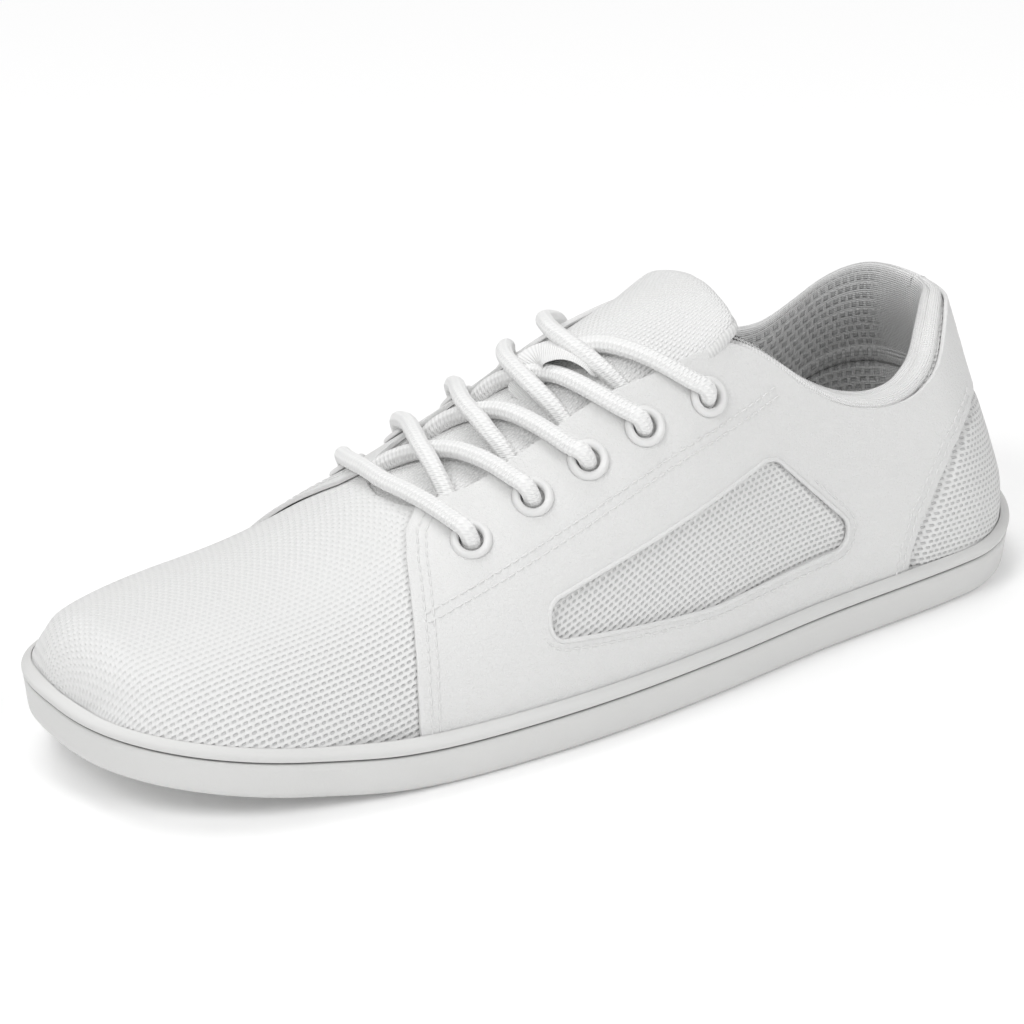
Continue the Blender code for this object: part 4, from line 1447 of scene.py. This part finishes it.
def stitch_row(verts, faces, places, side):
    """Stitches along s and f places on one side, added to the verts and faces."""
    spots = on_upper(places[:, 0], places[:, 1], side, LEATHER + GAP)
    way = way_along(spots)
    at = np.arange((STITCH + STITCH_GAP) / 2, way[-1], STITCH + STITCH_GAP)
    s, f = between_points(at, way, places).T
    ahead = unit(between_points(at + 0.0005, way, spots) - between_points(at - 0.0005, way, spots))
    out = outward(s, f, side)
    middle = on_upper(s, f, side, LEATHER + GAP)
    for spot, x, z in zip(middle, ahead, out):
        y = np.cross(z, x)
        first = len(verts)
        turn = np.array([x * STITCH / 2, y * THREAD, z * THREAD * 0.9])
        verts.extend(spot + z * THREAD * 0.25 + one_stitch @ turn)
        faces.extend([[first + i for i in face] for face in stitch_faces])


def beside(places, side, distance):
    """A line of s and f places moved sideways on the surface: positive is to the left of its run."""
    spots = last_point(places[:, 0], places[:, 1], side)
    run_way = unit(np.gradient(spots, axis=0))
    out = outward(places[:, 0], places[:, 1], side)
    left = np.cross(out, run_way)
    step = 1e-3
    ds = (last_point(places[:, 0] + step, places[:, 1], side) - spots) / step
    df = (last_point(places[:, 0], places[:, 1] + step, side) - spots) / step
    a, b, c = (ds * ds).sum(-1), (ds * df).sum(-1), (df * df).sum(-1)
    p, q = (left * ds).sum(-1), (left * df).sum(-1)
    det = a * c - b * b
    move = np.stack([(p * c - q * b) / det, (a * q - b * p) / det], -1)
    return places + move * distance


def fine_line(places, count=80):
    """More places along an edge, by its length in the side view."""
    places = np.asarray(places)
    way = way_along(places * [0.45, 0.1])
    return between_points(np.linspace(0, way[-1], count), way, places)


Seam = namedtuple("Seam", "s f")
EYESTAY = (
    Seam(0.700, 0.493),
    Seam(0.640, 0.490),
    Seam(0.550, 0.488),
    Seam(0.460, 0.487),
    Seam(0.390, 0.492),
    Seam(0.345, 0.505),
    Seam(0.312, 0.520),
)


def window_loop(side, distance):
    """The window's outline as s and f, moved away from the hole."""
    flat = closed_line(window_line, 0.001)
    places = np.stack(place_of(flat[:, 0], flat[:, 1], side), -1)
    return beside(np.vstack([places[-6:], places, places[:6]]), side, -distance * side)[6:-6]


PIPING = 0.00065

for side, name in SIDES:
    verts, faces = [], []
    eyestay = fine_line(EYESTAY)
    vamp_line = fine_line(np.vstack([[(0.741, 0.02)], edge_places(VAMP_EDGE, side)[::-1]]))
    counter_line = fine_line(np.vstack([[(0.187, 0.02)], edge_places(COUNTER_EDGE, side)[:7]]))
    seam_rows = (
        (eyestay, (0.0, 0.0024)),
        (vamp_line, (0.0030, 0.0052)),
        (counter_line, (-0.0022, -0.0042)),
    )
    for line, gaps in seam_rows:
        for gap in gaps:
            stitch_row(verts, faces, beside(line, side, gap * side), side)
    moved = window_loop(side, 0.0026)
    under = moved[:, 1] < np.interp(moved[:, 0], [0.2, 0.6], [0.33, 0.25])
    first_low = int(np.argmax(under & ~np.roll(under, 1)))
    moved, under = np.roll(moved, -first_low, axis=0), np.roll(under, -first_low)
    stitch_row(verts, faces, moved[under], side)
    rows = bpy.data.meshes.new("rows")
    rows.from_pydata(verts, [], faces)
    bm = bmesh.new()
    bm.from_mesh(rows)
    bpy.data.meshes.remove(rows)
    stitches = finish_mesh(bm, "stitches_" + name, thread_paint)
    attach(stitches, "root")

    # The window piping: a thin cord covered in the panel's leather, sewn in round each window.
    bm = bmesh.new()
    ring_line = window_loop(side, 0.0004)
    piping = on_upper(ring_line[:, 0], ring_line[:, 1], side, LEATHER + GAP - 0.0001)
    ups = outward(ring_line[:, 0], ring_line[:, 1], side)
    cord(bm, piping, PIPING, 10, ups=ups, closed=True)
    finish_cord(bm)
    pipe = finish_mesh(bm, "window_piping_" + name, leather_paint)
    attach(pipe, "root")

# The insole: a thin foam pad under the same lining cloth, crowned, lying loose in the cup.
INSOLE = 0.0040
INSOLE_GAP = 0.0010
INSOLE_CROWN = 0.0008


def place_insole(u, v, face):
    """One face of the pad: 1 is its top and 0 its bottom."""
    s = along(u)
    left, right = (sole_point(s, side, -KNIT_WALL - INSOLE_GAP, SOLE_FLOOR) for side in (LATERAL, MEDIAL))
    spots = span(v, left, right)
    inward = np.minimum(v, 1 - v) * np.linalg.norm(right - left, axis=1)
    full = 0.5 * cap(inward, INSOLE / 2, 2.0)
    spots[:, 2] += INSOLE * (0.5 + (full if face else -full))
    spots[:, 2] += face * INSOLE_CROWN * np.clip(inward / 0.02, 0, 1)
    return spots


bm = bmesh.new()
for face in (0, 1):
    sheet(
        bm,
        160,
        60,
        lambda u, v: place_insole(u, v, face),
        lambda u, v: (along(u) * LAST_LENGTH, 0.03 + v * 0.08),
    )
finish_cord(bm)
insole = finish_mesh(bm, "insole_pad", lining_paint)
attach(insole, "root")
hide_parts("insole")
